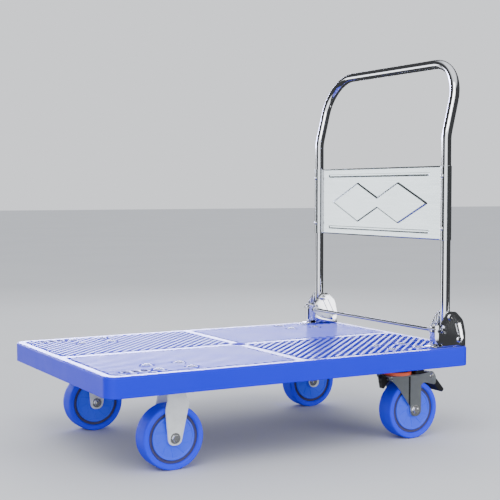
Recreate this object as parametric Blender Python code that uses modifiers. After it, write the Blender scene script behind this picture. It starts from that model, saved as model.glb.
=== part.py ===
"""Folding platform cart: a moulded deck on two fixed and two swivel casters, a push handle
that folds down over the deck, and a foot bar that unlocks it.

Metres, +Z up. The origin is on the ground under the middle of the deck. +X points to the
handle end, and left (-Y) and right (+Y) are those of a person pushing towards -X.
"""
import math

import bmesh
import bpy
from mathutils import Matrix, Vector
from mathutils.geometry import convex_hull_2d

GAP = 0.0003
SIDES = {"left": -1, "right": 1}

# Deck.
DECK_LENGTH = 0.900
DECK_WIDTH = 0.600
DECK_TOP = 0.213
DECK_DEPTH = 0.043
DECK_SKIN = 0.005
SKIRT_WALL = 0.004
CORNER_RADIUS = 0.028
TOP_EDGE_RADIUS = 0.004
FIELD_RISE = 0.0008
FIELD_BORDER = 0.017
FIELD_NOTCH = (0.343, 0.240)
RIB_WALL = 0.003
RIB_BOTTOM = 0.1723
BOSS_RADIUS = 0.009
SLOT_SIZE = (0.012, 0.014)
SLOT_PITCH = 0.020
SLOT_X = -0.3715
SLOT_Y = 0.252

# Casters.
WHEEL_RADIUS = 0.068
WHEEL_HALF_WIDTH = 0.0228
TYRE_SHOULDER = 0.0025
TYRE_BORE = 0.0546
RIM_BORE = 0.0476
RIM_HALF_WIDTH = 0.0188
HUB_HALF_WIDTH = 0.0205
HUB_BOSS = (0.017, 0.0235)
WHEEL_Y = 0.2192
FRONT_X = -0.282
SWIVEL_X = 0.296
TRAIL = 0.033
LEG_INNER = 0.0248
LEG_THICKNESS = 0.003
LEG_OUTER = LEG_INNER + LEG_THICKNESS
PLATE_TOP = 0.172
PLATE_THICKNESS = 0.004
PLATE_BOTTOM = PLATE_TOP - PLATE_THICKNESS
PLATE_SIZE = (0.100, 0.086)
BOLT_PITCH = (0.074, 0.062)
BOLT_HOLE = 0.0042
AXLE_RADIUS = 0.005
BUSH_RADIUS = 0.0085
FIXED_LEG = (
    (-0.0140, 0.0525, 0.0130), (0.0140, 0.0525, 0.0130), (0.0335, 0.1390, 0.006),
    (0.0240, 0.1580, 0.004), (0.0240, PLATE_BOTTOM + 0.001, 0), (-0.0150, PLATE_BOTTOM + 0.001, 0),
    (-0.0155, 0.1480, 0.010), (-0.0205, 0.1260, 0.010),
)
FORK_TOP = 0.150
FORK_TOP_THICKNESS = 0.0035
LOWER_RACE = (0.0282, 0.1575)
BALL_RING = (0.012, 0.026, 0.1578, 0.1602)
UPPER_RACE = (0.027, 0.030, 0.1605)
DUST_RING = (0.0341, 0.1580)
KINGPIN_RADIUS = 0.006

# Brake of the rear left caster: pins and outlines as offsets from the swivel axis and heights,
# with a radius at each corner.
BRAKE_PIN = (0.0803, 0.1440)
TAB_PIN = (-0.0290, 0.1415)
BRAKE_PIN_RADIUS = 0.003
PEDAL = (
    (0.0620, 0.1535, 0.002), (0.0600, 0.1370, 0.003), (0.0850, 0.1305, 0.006),
    (0.1050, 0.1055, 0.002), (0.1165, 0.1030, 0.003), (0.1215, 0.1080, 0.004),
    (0.0960, 0.1380, 0.006), (0.0850, 0.1530, 0.004),
)
SHOE = (
    (0.0650, 0.1352, 0), (0.0640, 0.1325, 0.001), (0.0740, 0.1262, 0),
    (0.0800, 0.1225, 0.001), (0.0820, 0.1290, 0.001), (0.0800, 0.1312, 0),
)
SHOE_WIDTH = 0.030
TAB_WIDTH = 0.014
TAB = (
    (0.0034, -0.0036, 0.003), (0.0034, 0.0030, 0.002), (-0.0085, 0.0030, 0), (-0.0095, 0.0105, 0.001),
    (-0.0150, 0.0105, 0.002), (-0.0185, 0.0020, 0.003), (-0.0140, -0.0210, 0.001),
    (-0.0105, -0.0210, 0.001),
)
FORK_EAR = (
    (0.0510, 0.1240, 0.003), (0.0600, 0.1300, 0.003), (0.0933, 0.1212, 0.004),
    (0.0938, 0.1415, 0.006), (0.0854, 0.1545, 0.004), (0.0498, FORK_TOP, 0),
)

# Handle.
TUBE_X = 0.3965
TUBE_Y = 0.2692
TUBE_RADIUS = 0.011
TUBE_WALL = 0.0015
TAIL_Z = 0.2415
PIVOT_Z = 0.283
KINK_Z = 0.700
KINK_RADIUS = 0.10
BAR_X = 0.4385
BAR_Z = 0.873
TURN_RADIUS = 0.095
PANEL_BOTTOM = 0.4594
PANEL_TOP = 0.631
PANEL_SHEET = 0.0012
SCREW_HEIGHTS = (0.4863, 0.6074)

# Brackets, and the lever of the foot bar between them.
CHEEK = 0.0025
CHEEK_INNER = 0.0150
BRACKET_BOTTOM = DECK_TOP + GAP
BOLT_TIP_Y = 0.2365
NOSE_X, NOSE_END = 0.3748, 0.3800
NOSE_HEIGHTS = (0.2228, 0.2635)
LEVER_PIN = (0.4235, 0.230)
ROD = (0.373, 0.252)
ROD_RAISED = (0.3776, 0.2604)
LOCK = (0.3965, 0.2355)
LOCK_RAISED = (0.3979, 0.2401)
ROD_RADIUS = 0.004
BOLT_RADIUS = 0.004
LEVER_INNER = 0.2488
LEVER_THICKNESS = 0.002


def empty_scene():
    for obj in list(bpy.data.objects):
        bpy.data.objects.remove(obj, do_unlink=True)


def new_collection(name):
    collection = bpy.data.collections.new(name)
    bpy.context.scene.collection.children.link(collection)
    return collection


def new_material(name, colour, roughness, metallic=0.0):
    material = bpy.data.materials.new(name)
    material.use_nodes = True
    shader = material.node_tree.nodes["Principled BSDF"]
    shader.inputs["Base Color"].default_value = (*colour, 1.0)
    shader.inputs["Roughness"].default_value = roughness
    shader.inputs["Metallic"].default_value = metallic
    return material


empty_scene()
PARTS = new_collection("folding_platform_cart")
CUTTERS = new_collection("cutters")
BLUE = new_material("deck_plastic", (0.03, 0.07, 0.75), 0.42)
TYRE_BLUE = new_material("tyre_blue", (0.05, 0.08, 0.90), 0.50)
HUB_BLUE = new_material("hub_blue", (0.06, 0.10, 0.90), 0.45)
RIM_GREY = new_material("rim_grey", (0.06, 0.06, 0.09), 0.60)
CHROME = new_material("chrome", (0.85, 0.86, 0.88), 0.08, 1.0)
ZINC = new_material("zinc_plate", (0.62, 0.64, 0.66), 0.35, 1.0)
STEEL = new_material("brushed_steel", (0.66, 0.71, 0.73), 0.30, 1.0)
BLACK = new_material("black_plastic", (0.012, 0.012, 0.014), 0.35)
ORANGE = new_material("orange_plastic", (0.68, 0.13, 0.04), 0.45)


# Building blocks.

def place(name, data, at, material=None, parent=None, turn_x=0.0):
    """A new object at a world position, under a parent that has no rotation."""
    obj = bpy.data.objects.new(name, data)
    obj.location = Vector(at) - (parent.location_world if parent else Vector())
    obj.rotation_euler = (turn_x, 0.0, 0.0)
    return finish(obj, material, parent)


def finish(obj, material, parent):
    if material is None:
        obj.hide_render = True
        obj.display_type = "WIRE"
        CUTTERS.objects.link(obj)
    else:
        obj.data.materials.append(material)
        PARTS.objects.link(obj)
    obj.parent = parent.empty if parent else None
    return obj


class Joint:
    """An empty on a joint's axis, which carries the pieces that move with it."""

    def __init__(self, name, at, parent=None):
        self.location_world = Vector(at)
        self.empty = bpy.data.objects.new(name, None)
        self.empty.location = self.location_world - (parent.location_world if parent else Vector())
        self.empty.parent = parent.empty if parent else None
        PARTS.objects.link(self.empty)


def mesh_from(name, bm, sharp=30):
    mesh = bpy.data.meshes.new(name)
    bmesh.ops.recalc_face_normals(bm, faces=bm.faces)
    bm.to_mesh(mesh)
    bm.free()
    mesh.shade_smooth()
    mesh.set_sharp_from_angle(angle=math.radians(sharp))
    return mesh


def boolean(target, tool, operation="DIFFERENCE"):
    modifier = target.modifiers.new(tool.name, "BOOLEAN")
    modifier.object = tool
    modifier.operation = operation
    modifier.solver = "EXACT"


def box_mesh(name, boxes):
    """One mesh of axis-aligned boxes, each given by its low and high corners."""
    bm = bmesh.new()
    for low, high in boxes:
        made = bmesh.ops.create_cube(bm, size=1.0)["verts"]
        low, high = Vector(low), Vector(high)
        bmesh.ops.scale(bm, vec=high - low, verts=made)
        bmesh.ops.translate(bm, vec=(low + high) / 2, verts=made)
    return mesh_from(name, bm)


def rods_mesh(name, rods, steps=12):
    """One mesh of rods along X, Y or Z, each given by radius, axis, low end and length."""
    bm = bmesh.new()
    for radius, axis, start, length in rods:
        made = bmesh.ops.create_cone(
            bm, cap_ends=True, segments=steps, radius1=radius, radius2=radius, depth=length)["verts"]
        along = {"X": Vector((1, 0, 0)), "Y": Vector((0, 1, 0)), "Z": Vector((0, 0, 1))}[axis]
        turn = Vector((0, 0, 1)).rotation_difference(along).to_matrix()
        bmesh.ops.rotate(bm, verts=made, matrix=turn)
        bmesh.ops.translate(bm, vec=Vector(start) + along * length / 2, verts=made)
    return mesh_from(name, bm)


def turned_mesh(name, profile):
    """The edges of a turned profile of (radius, height) points, for a Screw modifier."""
    bm = bmesh.new()
    verts = [bm.verts.new((radius, 0, height)) for radius, height in profile]
    for first, second in zip(verts, verts[1:]):
        bm.edges.new((first, second))
    if profile[0][0] > 0:
        bm.edges.new((verts[-1], verts[0]))
    mesh = bpy.data.meshes.new(name)
    bm.to_mesh(mesh)
    bm.free()
    return mesh


def turned(name, profile, at, material, parent=None, steps=16, turn_x=0.0):
    """A turned solid: its profile runs down the outer side, and back up the bore if it has one."""
    obj = place(name, turned_mesh(name, profile), at, material, parent, turn_x)
    screw = obj.modifiers.new("turn", "SCREW")
    screw.steps = screw.render_steps = steps
    screw.use_merge_vertices = True
    screw.merge_threshold = 0.00001
    screw.use_smooth_shade = True
    return obj


def curve_to_mesh(curve, sharp=30):
    """The mesh of a curve, with its caps welded on."""
    guide = bpy.data.objects.new(curve.name, curve)
    bpy.context.scene.collection.objects.link(guide)
    bpy.context.view_layer.update()
    graph = bpy.context.evaluated_depsgraph_get()
    raw = bpy.data.meshes.new_from_object(guide.evaluated_get(graph))
    bpy.data.objects.remove(guide)
    bm = bmesh.new()
    bm.from_mesh(raw)
    bpy.data.meshes.remove(raw)
    bmesh.ops.remove_doubles(bm, verts=bm.verts, dist=0.00001)
    return mesh_from(curve.name, bm, sharp)


def add_spline(curve, points, closed):
    spline = curve.splines.new("POLY")
    spline.points.add(len(points) - 1)
    for point, place_at in zip(spline.points, points):
        point.co = (*place_at, *(0.0,) * (3 - len(place_at)), 1.0)
    spline.use_cyclic_u = closed


def sheet_mesh(name, outlines, thickness):
    """A flat plate in its own XY plane: the first outline is its edge, the others its holes."""
    curve = bpy.data.curves.new(name, "CURVE")
    curve.dimensions = "2D"
    curve.fill_mode = "BOTH"
    curve.extrude = thickness / 2
    for outline in outlines:
        add_spline(curve, outline, True)
    return curve_to_mesh(curve)


def upright_sheet(name, outlines, thickness, y, material=None, parent=None):
    """A plate that stands in a plane of constant Y, its outlines given as (x, z) in the world."""
    origin = parent.location_world if parent else Vector()
    local = [[(x - origin.x, z - origin.z) for x, z in outline] for outline in outlines]
    at = (origin.x, y, origin.z)
    return place(name, sheet_mesh(name, local, thickness), at, material, parent, math.pi / 2)


def wire_mesh(name, path, radius, resolution=2, caps=True):
    curve = bpy.data.curves.new(name, "CURVE")
    curve.dimensions = "3D"
    curve.bevel_depth = radius
    curve.bevel_resolution = resolution
    curve.use_fill_caps = caps
    add_spline(curve, path, False)
    return curve_to_mesh(curve, 50)


def hex_nut(name, radius, bore, thickness, at, material, parent=None):
    """A hexagonal nut on an axis along Y, centred at its place."""
    outlines = [circle((0, 0), radius, 6), circle((0, 0), bore)]
    return place(name, sheet_mesh(name, outlines, thickness), at, material, parent, math.pi / 2)


def circle(centre, radius, steps=12):
    turns = [2 * math.pi * step / steps for step in range(steps)]
    return [(centre[0] + radius * math.cos(a), centre[1] + radius * math.sin(a)) for a in turns]


def hull(*circles):
    """The outline of a belt drawn tight round circles of (x, z, radius)."""
    points = [point for x, z, radius in circles for point in circle((x, z), radius, 16)]
    return [points[index] for index in convex_hull_2d(points)]


def rounded(corners, steps=2):
    """A closed outline whose corners (x, z, radius) are replaced by arcs."""
    outline = []
    for index, (x, z, radius) in enumerate(corners):
        here = Vector((x, z))
        if radius == 0:
            outline.append((x, z))
            continue
        back = (Vector(corners[index - 1][:2]) - here).normalized()
        ahead = (Vector(corners[(index + 1) % len(corners)][:2]) - here).normalized()
        half = back.angle(ahead) / 2
        centre = here + (back + ahead).normalized() * (radius / math.sin(half))
        start = here + back * (radius / math.tan(half)) - centre
        end = here + ahead * (radius / math.tan(half)) - centre
        turn = math.atan2(start.x * end.y - start.y * end.x, start.dot(end))
        for step in range(steps + 1):
            angle = math.atan2(start.y, start.x) + turn * step / steps
            outline.append((centre.x + radius * math.cos(angle), centre.y + radius * math.sin(angle)))
    return outline


def evenly(start, end, count):
    """The places of a number of ribs that divide a span evenly."""
    return [start + (end - start) * (step + 1) / (count + 1) for step in range(count)]


# Deck.

def slab(name, length, width, bottom, top, radius, edge_radius, material=None):
    """An upright-sided slab with round corners, and a rounded top edge if it has a radius."""
    bm = bmesh.new()
    bmesh.ops.create_cube(bm, size=1.0)
    bmesh.ops.scale(bm, vec=(length, width, top - bottom), verts=bm.verts)
    bmesh.ops.translate(bm, vec=(0, 0, (top + bottom) / 2), verts=bm.verts)
    upright = [e for e in bm.edges if abs(e.verts[0].co.z - e.verts[1].co.z) > 0.001]
    bmesh.ops.bevel(bm, geom=upright, offset=radius, segments=6, profile=0.5, affect="EDGES")
    if edge_radius:
        rim = [e for e in bm.edges if all(v.co.z > top - 0.0001 for v in e.verts)]
        bmesh.ops.bevel(bm, geom=rim, offset=edge_radius, segments=2, profile=0.5, affect="EDGES")
    return place(name, mesh_from(name, bm), (0, 0, 0), material)


def bolt_places():
    """The places of the sixteen caster bolts."""
    half_x, half_y = BOLT_PITCH[0] / 2, BOLT_PITCH[1] / 2
    return [
        (centre + dx, side * WHEEL_Y + dy)
        for centre in (FRONT_X, SWIVEL_X)
        for side in SIDES.values()
        for dx in (-half_x, half_x)
        for dy in (-half_y, half_y)
    ]


def rib_lines():
    """The places of the ribs along and across the deck: through the bolts, and evenly between."""
    half_x, half_y = BOLT_PITCH[0] / 2, BOLT_PITCH[1] / 2
    end = DECK_LENGTH / 2 - SKIRT_WALL
    edge = DECK_WIDTH / 2 - SKIRT_WALL
    front, rear = FRONT_X - half_x, SWIVEL_X - half_x
    across = evenly(-end, front, 1) + [front, FRONT_X + half_x]
    across += evenly(FRONT_X + half_x, rear, 5) + [rear, SWIVEL_X + half_x]
    across += evenly(SWIVEL_X + half_x, end, 1)
    inner, outer = WHEEL_Y - half_y, WHEEL_Y + half_y
    along = [-outer, -inner] + evenly(-inner, inner, 4) + [inner, outer]
    beyond = 0.01
    return [-end - beyond] + across + [end + beyond], [-edge - beyond] + along + [edge + beyond]


def make_deck():
    bottom = DECK_TOP - DECK_DEPTH
    deck = slab("deck", DECK_LENGTH, DECK_WIDTH, bottom, DECK_TOP, CORNER_RADIUS, TOP_EDGE_RADIUS, BLUE)
    inside = slab(
        "deck_inside", DECK_LENGTH - 2 * SKIRT_WALL, DECK_WIDTH - 2 * SKIRT_WALL,
        bottom - 0.02, DECK_TOP - DECK_SKIN, CORNER_RADIUS - SKIRT_WALL, 0.0)
    lines_x, lines_y = rib_lines()
    half = RIB_WALL / 2
    cells = [
        ((x0 + half, y0 + half, bottom - 0.01), (x1 - half, y1 - half, DECK_TOP))
        for x0, x1 in zip(lines_x, lines_x[1:])
        for y0, y1 in zip(lines_y, lines_y[1:])
    ]
    pockets = place("deck_pockets", box_mesh("deck_pockets", cells), (0, 0, 0))
    rods = [(BOSS_RADIUS, "Z", (x, y, bottom - 0.02), 0.08) for x, y in bolt_places()]
    boolean(pockets, place("deck_bosses", rods_mesh("deck_bosses", rods, 8), (0, 0, 0)))
    recess = box_mesh("deck_recess", [((-0.5, -0.35, bottom - 0.015), (0.5, 0.35, RIB_BOTTOM))])
    boolean(pockets, place("deck_recess", recess, (0, 0, 0)), "UNION")
    boolean(pockets, inside, "INTERSECT")
    boolean(deck, pockets)
    boolean(deck, place("deck_field", field_mesh(), (0, 0, DECK_TOP)), "UNION")
    boolean(deck, place("deck_slots", box_mesh("deck_slots", slot_boxes()), (0, 0, 0)))


def field_mesh():
    """The load field, which stands proud of the border and is notched round the brackets."""
    end, side = DECK_LENGTH / 2 - FIELD_BORDER, DECK_WIDTH / 2 - FIELD_BORDER
    notch_x, notch_y = FIELD_NOTCH
    half = [(-end, side, 0.02), (notch_x, side, 0.01), (notch_x, notch_y, 0.01), (end, notch_y, 0.01)]
    other = [(x, -y, radius) for x, y, radius in reversed(half)]
    return sheet_mesh("deck_field", [rounded(half + other)], 2 * FIELD_RISE)


def slot_boxes():
    """The lashing slots near the two front corners."""
    boxes = []
    for side in SIDES.values():
        for step in (-1, 0, 1):
            x, y = SLOT_X + step * SLOT_PITCH, side * SLOT_Y
            low = (x - SLOT_SIZE[0] / 2, y - SLOT_SIZE[1] / 2, DECK_TOP - 0.02)
            boxes.append((low, (x + SLOT_SIZE[0] / 2, y + SLOT_SIZE[1] / 2, DECK_TOP + 0.01)))
    return boxes


# Casters.

def make_wheel(prefix, at, parent):
    """Tyre, rim and hub, turned about the wheel's axle."""
    half, tread = WHEEL_HALF_WIDTH, WHEEL_HALF_WIDTH - TYRE_SHOULDER
    shoulder = WHEEL_RADIUS - TYRE_SHOULDER
    tyre = [
        (WHEEL_RADIUS, tread), (WHEEL_RADIUS, -tread), (shoulder, -half), (TYRE_BORE, -half),
        (TYRE_BORE, half), (shoulder, half),
    ]
    outer, half = TYRE_BORE - GAP, RIM_HALF_WIDTH
    rim = [(outer, half), (outer, -half), (RIM_BORE, -half), (RIM_BORE, half)]
    face, half, bore = RIM_BORE - GAP, HUB_HALF_WIDTH, BUSH_RADIUS + GAP
    boss, end = HUB_BOSS
    hub = [(boss, end), (face, half), (face, -half), (boss, -end), (bore, -end), (bore, end)]
    turned(prefix + "_tyre", tyre, at, TYRE_BLUE, parent, 28, math.pi / 2)
    turned(prefix + "_rim", rim, at, RIM_GREY, parent, 28, math.pi / 2)
    turned(prefix + "_hub", hub, at, HUB_BLUE, parent, 28, math.pi / 2)


def make_axle(prefix, at, side, parent):
    """Axle bolt with its flanged head on the outer side, its nut, and the bush between the legs."""
    outer, end = LEG_OUTER + GAP, LEG_OUTER + 0.0085
    bolt = [
        (0, outer + 0.0055), (0.0072, outer + 0.0055), (0.0072, outer + 0.0015), (0.0120, outer + 0.0012),
        (0.0120, outer), (AXLE_RADIUS, outer), (AXLE_RADIUS, -end), (0, -end),
    ]
    bore, nut_depth = AXLE_RADIUS + GAP, 0.006
    reach = LEG_INNER - GAP
    bush = [(BUSH_RADIUS, reach), (BUSH_RADIUS, -reach), (bore, -reach), (bore, reach)]
    turn = -side * math.pi / 2
    turned(prefix + "_axle_bolt", bolt, at, ZINC, parent, 12, turn)
    nut_at = Vector(at) - Vector((0, side * (outer + nut_depth / 2), 0))
    hex_nut(prefix + "_axle_nut", 0.0085, bore, nut_depth, nut_at, ZINC, parent)
    turned(prefix + "_axle_bush", bush, at, ZINC, parent, 12, turn)


def plate_holes(x, y):
    return [
        circle((x + dx * BOLT_PITCH[0] / 2, y + dy * BOLT_PITCH[1] / 2), BOLT_HOLE, 8)
        for dx in (-1, 1)
        for dy in (-1, 1)
    ]


def caster_plate(name, x, y, holes, material=None):
    half_x, half_y = PLATE_SIZE[0] / 2, PLATE_SIZE[1] / 2
    signs = ((-1, -1), (1, -1), (1, 1), (-1, 1))
    corners = [(sx * half_x, sy * half_y, 0.008) for sx, sy in signs]
    mesh = sheet_mesh(name, [rounded(corners)] + plate_holes(0, 0) + holes, PLATE_THICKNESS)
    return place(name, mesh, (x, y, PLATE_TOP - PLATE_THICKNESS / 2), material)


def make_front_caster(side_name, side):
    prefix = "front_" + side_name
    centre = (FRONT_X, side * WHEEL_Y, WHEEL_RADIUS)
    fork = caster_plate(prefix + "_fork", FRONT_X, side * WHEEL_Y, [], ZINC)
    outline = rounded([(FRONT_X + dx, z, radius) for dx, z, radius in FIXED_LEG], 3)
    axle_hole = circle((FRONT_X, WHEEL_RADIUS), AXLE_RADIUS + GAP)
    for leg in (-1, 1):
        y = side * WHEEL_Y + leg * (LEG_INNER + LEG_THICKNESS / 2)
        boolean(fork, upright_sheet(f"{prefix}_leg_{leg}", [outline, axle_hole], LEG_THICKNESS, y), "UNION")
    make_axle(prefix, centre, side, None)
    make_wheel(prefix, centre, Joint(prefix + "_wheel_axis", centre))


def make_swivel_head(prefix, y):
    """Top plate with its race, the ball retainer and the kingpin, all on the swivel axis."""
    bore = KINGPIN_RADIUS + 0.0005
    plate = caster_plate(prefix + "_plate", SWIVEL_X, y, [circle((0, 0), bore, 16)], ZINC)
    low_radius, high_radius, race_z = UPPER_RACE
    root = PLATE_BOTTOM + 0.001
    race = [(high_radius, root), (low_radius, race_z), (bore, race_z), (bore, root)]
    boolean(plate, turned(prefix + "_upper_race", race, (SWIVEL_X, y, 0), None, None, 16), "UNION")
    inner, outer, low, high = BALL_RING
    balls = [(outer, high), (outer, low), (inner, low), (inner, high)]
    turned(prefix + "_ball_ring", balls, (SWIVEL_X, y, 0), STEEL, None, 16)
    head_top, head_bottom = PLATE_TOP + GAP, FORK_TOP - FORK_TOP_THICKNESS - GAP
    kingpin = [
        (0, head_top + 0.004), (0.008, head_top + 0.004), (0.010, head_top), (KINGPIN_RADIUS, head_top),
        (KINGPIN_RADIUS, head_bottom), (0.010, head_bottom), (0.008, head_bottom - 0.005),
        (0, head_bottom - 0.005),
    ]
    turned(prefix + "_kingpin", kingpin, (SWIVEL_X, y, 0), ZINC, None, 16)


def from_swivel(corners):
    """Corners given as offsets from the swivel axis, as places in the world."""
    return [(SWIVEL_X + x, z, radius) for x, z, radius in corners]


def swivel_leg(braked):
    """Outline of a swivel fork's leg: a strap down to the axle, flared forward to the top."""
    rear = [(SWIVEL_X + 0.051, FORK_TOP, 0.003)]
    if braked:
        rear = from_swivel(FORK_EAR)
    wheel_x, tip = SWIVEL_X + TRAIL, WHEEL_RADIUS - 0.0155
    return rounded([
        (wheel_x - 0.0130, tip, 0.0135), (wheel_x + 0.0180, tip, 0.0135), *rear,
        (SWIVEL_X - 0.039, FORK_TOP, 0.002), (SWIVEL_X - 0.0375, 0.144, 0.003),
        (SWIVEL_X - 0.023, 0.1334, 0.008), (SWIVEL_X - 0.007, 0.1144, 0.02),
        (wheel_x - 0.0130, 0.069, 0.01),
    ], 3)


def make_fork(prefix, y, braked, axis):
    """Swivel fork: a top with the lower race, and two legs."""
    bore = KINGPIN_RADIUS + 0.0005
    front, rear, half = -0.034, 0.048, LEG_INNER + 0.001
    top = [(front, -half), (rear, -half), (rear, half), (front, half)]
    mesh = sheet_mesh(prefix + "_fork", [top, circle((0, 0), bore, 16)], FORK_TOP_THICKNESS)
    fork = place(prefix + "_fork", mesh, (SWIVEL_X, y, FORK_TOP - FORK_TOP_THICKNESS / 2), ZINC, axis)
    radius, race_z = LOWER_RACE
    root = FORK_TOP - 0.001
    race = [(radius, race_z), (radius, root), (bore, root), (bore, race_z)]
    boolean(fork, turned(prefix + "_lower_race", race, (SWIVEL_X, y, 0), None, axis, 16), "UNION")
    holes = [circle((SWIVEL_X + TRAIL, WHEEL_RADIUS), AXLE_RADIUS + GAP)]
    if braked:
        for x, z in (BRAKE_PIN, TAB_PIN):
            holes.append(circle((SWIVEL_X + x, z), BRAKE_PIN_RADIUS + GAP))
    for leg in (-1, 1):
        leg_y = y + leg * (LEG_INNER + LEG_THICKNESS / 2)
        outlines = [swivel_leg(braked)] + holes
        leg_name = f"{prefix}_leg_{leg}"
        boolean(fork, upright_sheet(leg_name, outlines, LEG_THICKNESS, leg_y, None, axis), "UNION")


def make_pedal(prefix, y, axis):
    """Foot pedal with its shoe behind the wheel, and the pin they turn on."""
    pin_at = (SWIVEL_X + BRAKE_PIN[0], y, BRAKE_PIN[1])
    pedal_axis = Joint("brake_pedal_axis", pin_at, axis)
    pin_hole = circle((pin_at[0], pin_at[2]), BRAKE_PIN_RADIUS + GAP)
    outlines = [rounded(from_swivel(PEDAL)), pin_hole]
    width = 2 * (LEG_INNER - 0.0005)
    upright_sheet(prefix + "_brake_pedal", outlines, width, y, BLACK, pedal_axis)
    shoe = [rounded(from_swivel(SHOE))]
    upright_sheet(prefix + "_brake_shoe", shoe, SHOE_WIDTH, y, BLACK, pedal_axis)
    end = LEG_OUTER + GAP
    pin = [
        (0, end + 0.002), (0.0045, end + 0.002), (0.0050, end), (BRAKE_PIN_RADIUS, end),
        (BRAKE_PIN_RADIUS, -end), (0.0050, -end), (0.0045, -end - 0.002), (0, -end - 0.002),
    ]
    turned(prefix + "_brake_pin", pin, pin_at, ZINC, axis, 12, math.pi / 2)


def make_release_tab(prefix, y, axis):
    """The flap in front of the wheel, with the stub it turns on in the fork's legs."""
    x, z = SWIVEL_X + TAB_PIN[0], TAB_PIN[1]
    tab_axis = Joint("brake_tab_axis", (x, y, z), axis)
    flap = rounded([(x + dx, z + dz, radius) for dx, dz, radius in TAB])
    tab = upright_sheet(prefix + "_release_tab", [flap], TAB_WIDTH, y, BLACK, tab_axis)
    stub = [(BRAKE_PIN_RADIUS, "Y", (x, y - LEG_OUTER, z), 2 * LEG_OUTER)]
    boolean(tab, place(prefix + "_tab_stub", rods_mesh(prefix + "_tab_stub", stub), (0, 0, 0)), "UNION")


def make_dust_ring(prefix, y, axis):
    """The coloured ring round the race of the braked caster's swivel."""
    outer, high = DUST_RING
    inner, low = LOWER_RACE[0] + GAP, FORK_TOP + GAP
    ring = [(outer, high), (outer, low), (inner, low), (inner, high)]
    turned(prefix + "_dust_ring", ring, (SWIVEL_X, y, 0), ORANGE, axis, 16)


def make_rear_caster(side_name, side):
    prefix = "rear_" + side_name
    y = side * WHEEL_Y
    braked = side_name == "left"
    make_swivel_head(prefix, y)
    axis = Joint(prefix + "_swivel_axis", (SWIVEL_X, y, FORK_TOP))
    make_fork(prefix, y, braked, axis)
    centre = (SWIVEL_X + TRAIL, y, WHEEL_RADIUS)
    make_axle(prefix, centre, side, axis)
    make_wheel(prefix, centre, Joint(prefix + "_wheel_axis", centre, axis))
    if braked:
        make_pedal(prefix, y, axis)
        make_release_tab(prefix, y, axis)
        make_dust_ring(prefix, y, axis)


# Handle.

def handle_path():
    """The tube's centre line: up one side, a kink towards the pusher, over the top and down."""
    lean = math.atan2(BAR_X - TUBE_X, BAR_Z - KINK_Z)
    start = KINK_Z - KINK_RADIUS * math.tan(lean / 2)
    points = [(TUBE_X, -TUBE_Y, TAIL_Z)]
    for step in range(4):
        angle = lean * step / 3
        x = TUBE_X + KINK_RADIUS * (1 - math.cos(angle))
        points.append((x, -TUBE_Y, start + KINK_RADIUS * math.sin(angle)))
    slope = (BAR_Z - KINK_Z) / math.cos(lean)
    for step in range(8):
        angle = math.pi / 2 * step / 7
        rise = slope - TURN_RADIUS * (1 - math.sin(angle))
        y = -TUBE_Y + TURN_RADIUS * (1 - math.cos(angle))
        points.append((TUBE_X + rise * math.sin(lean), y, KINK_Z + rise * math.cos(lean)))
    return points + [(x, -y, z) for x, y, z in reversed(points)]


def make_handle_tube(axis):
    mesh = wire_mesh("handle_tube", handle_path(), TUBE_RADIUS, 4, False)
    tube = place("handle_tube", mesh, axis.location_world, CHROME, axis)
    tube.data.transform(Matrix.Translation(-axis.location_world))
    wall = tube.modifiers.new("wall", "SOLIDIFY")
    wall.thickness = TUBE_WALL
    wall.offset = -1
    rods, notches = [], []
    for side in SIDES.values():
        y = side * TUBE_Y
        rods.append((BOLT_RADIUS + GAP, "Y", (TUBE_X, y - 0.02, PIVOT_Z), 0.04))
        rods += [(0.0023, "X", (TUBE_X - 0.02, y, z), 0.018) for z in SCREW_HEIGHTS]
        low = (LOCK_RAISED[0] - 0.005, y - 0.02, TAIL_Z - 0.01)
        notches.append((low, (LOCK_RAISED[0] + 0.005, y + 0.02, LOCK_RAISED[1] + 0.0047)))
    boolean(tube, place("tube_holes", rods_mesh("tube_holes", rods), (0, 0, 0)))
    boolean(tube, place("tube_notches", box_mesh("tube_notches", notches), (0, 0, 0)))


def make_panel(axis):
    """Sheet between the tubes, its ends wrapped round them as sleeves."""
    bore, outside = TUBE_RADIUS + GAP, TUBE_RADIUS + GAP + PANEL_SHEET
    low, high = PANEL_BOTTOM - PIVOT_Z, PANEL_TOP - PIVOT_Z
    half = PANEL_SHEET / 2
    sheet = box_mesh("panel", [((-half, -TUBE_Y + bore + half, low), (half, TUBE_Y - bore - half, high))])
    panel = place("panel", sheet, (TUBE_X, 0, PIVOT_Z), STEEL, axis)
    for name, side in SIDES.items():
        sleeve = [(outside, high), (outside, low), (bore, low), (bore, high)]
        at = (TUBE_X, side * TUBE_Y, PIVOT_Z)
        boolean(panel, turned(f"sleeve_{name}", sleeve, at, None, axis, 16), "UNION")
    rods = [
        (0.0023, "X", (TUBE_X - 0.02, side * TUBE_Y, z), 0.018)
        for side in SIDES.values()
        for z in SCREW_HEIGHTS
    ]
    boolean(panel, place("panel_holes", rods_mesh("panel_holes", rods), (0, 0, 0)))


def make_panel_screws(axis):
    face = TUBE_RADIUS + GAP + PANEL_SHEET + GAP
    profile = [
        (0, face + 0.0024), (0.0025, face + 0.0020), (0.0042, face + 0.0006), (0.0042, face),
        (0.0020, face), (0.0020, face - 0.006), (0, face - 0.006),
    ]
    for name, side in SIDES.items():
        for level, z in zip(("lower", "upper"), SCREW_HEIGHTS):
            at = (TUBE_X, side * TUBE_Y, z)
            screw = turned(f"panel_screw_{name}_{level}", profile, at, ZINC, axis, 10)
            screw.rotation_euler = (0, -math.pi / 2, 0)


# Brackets and foot release.

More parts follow.
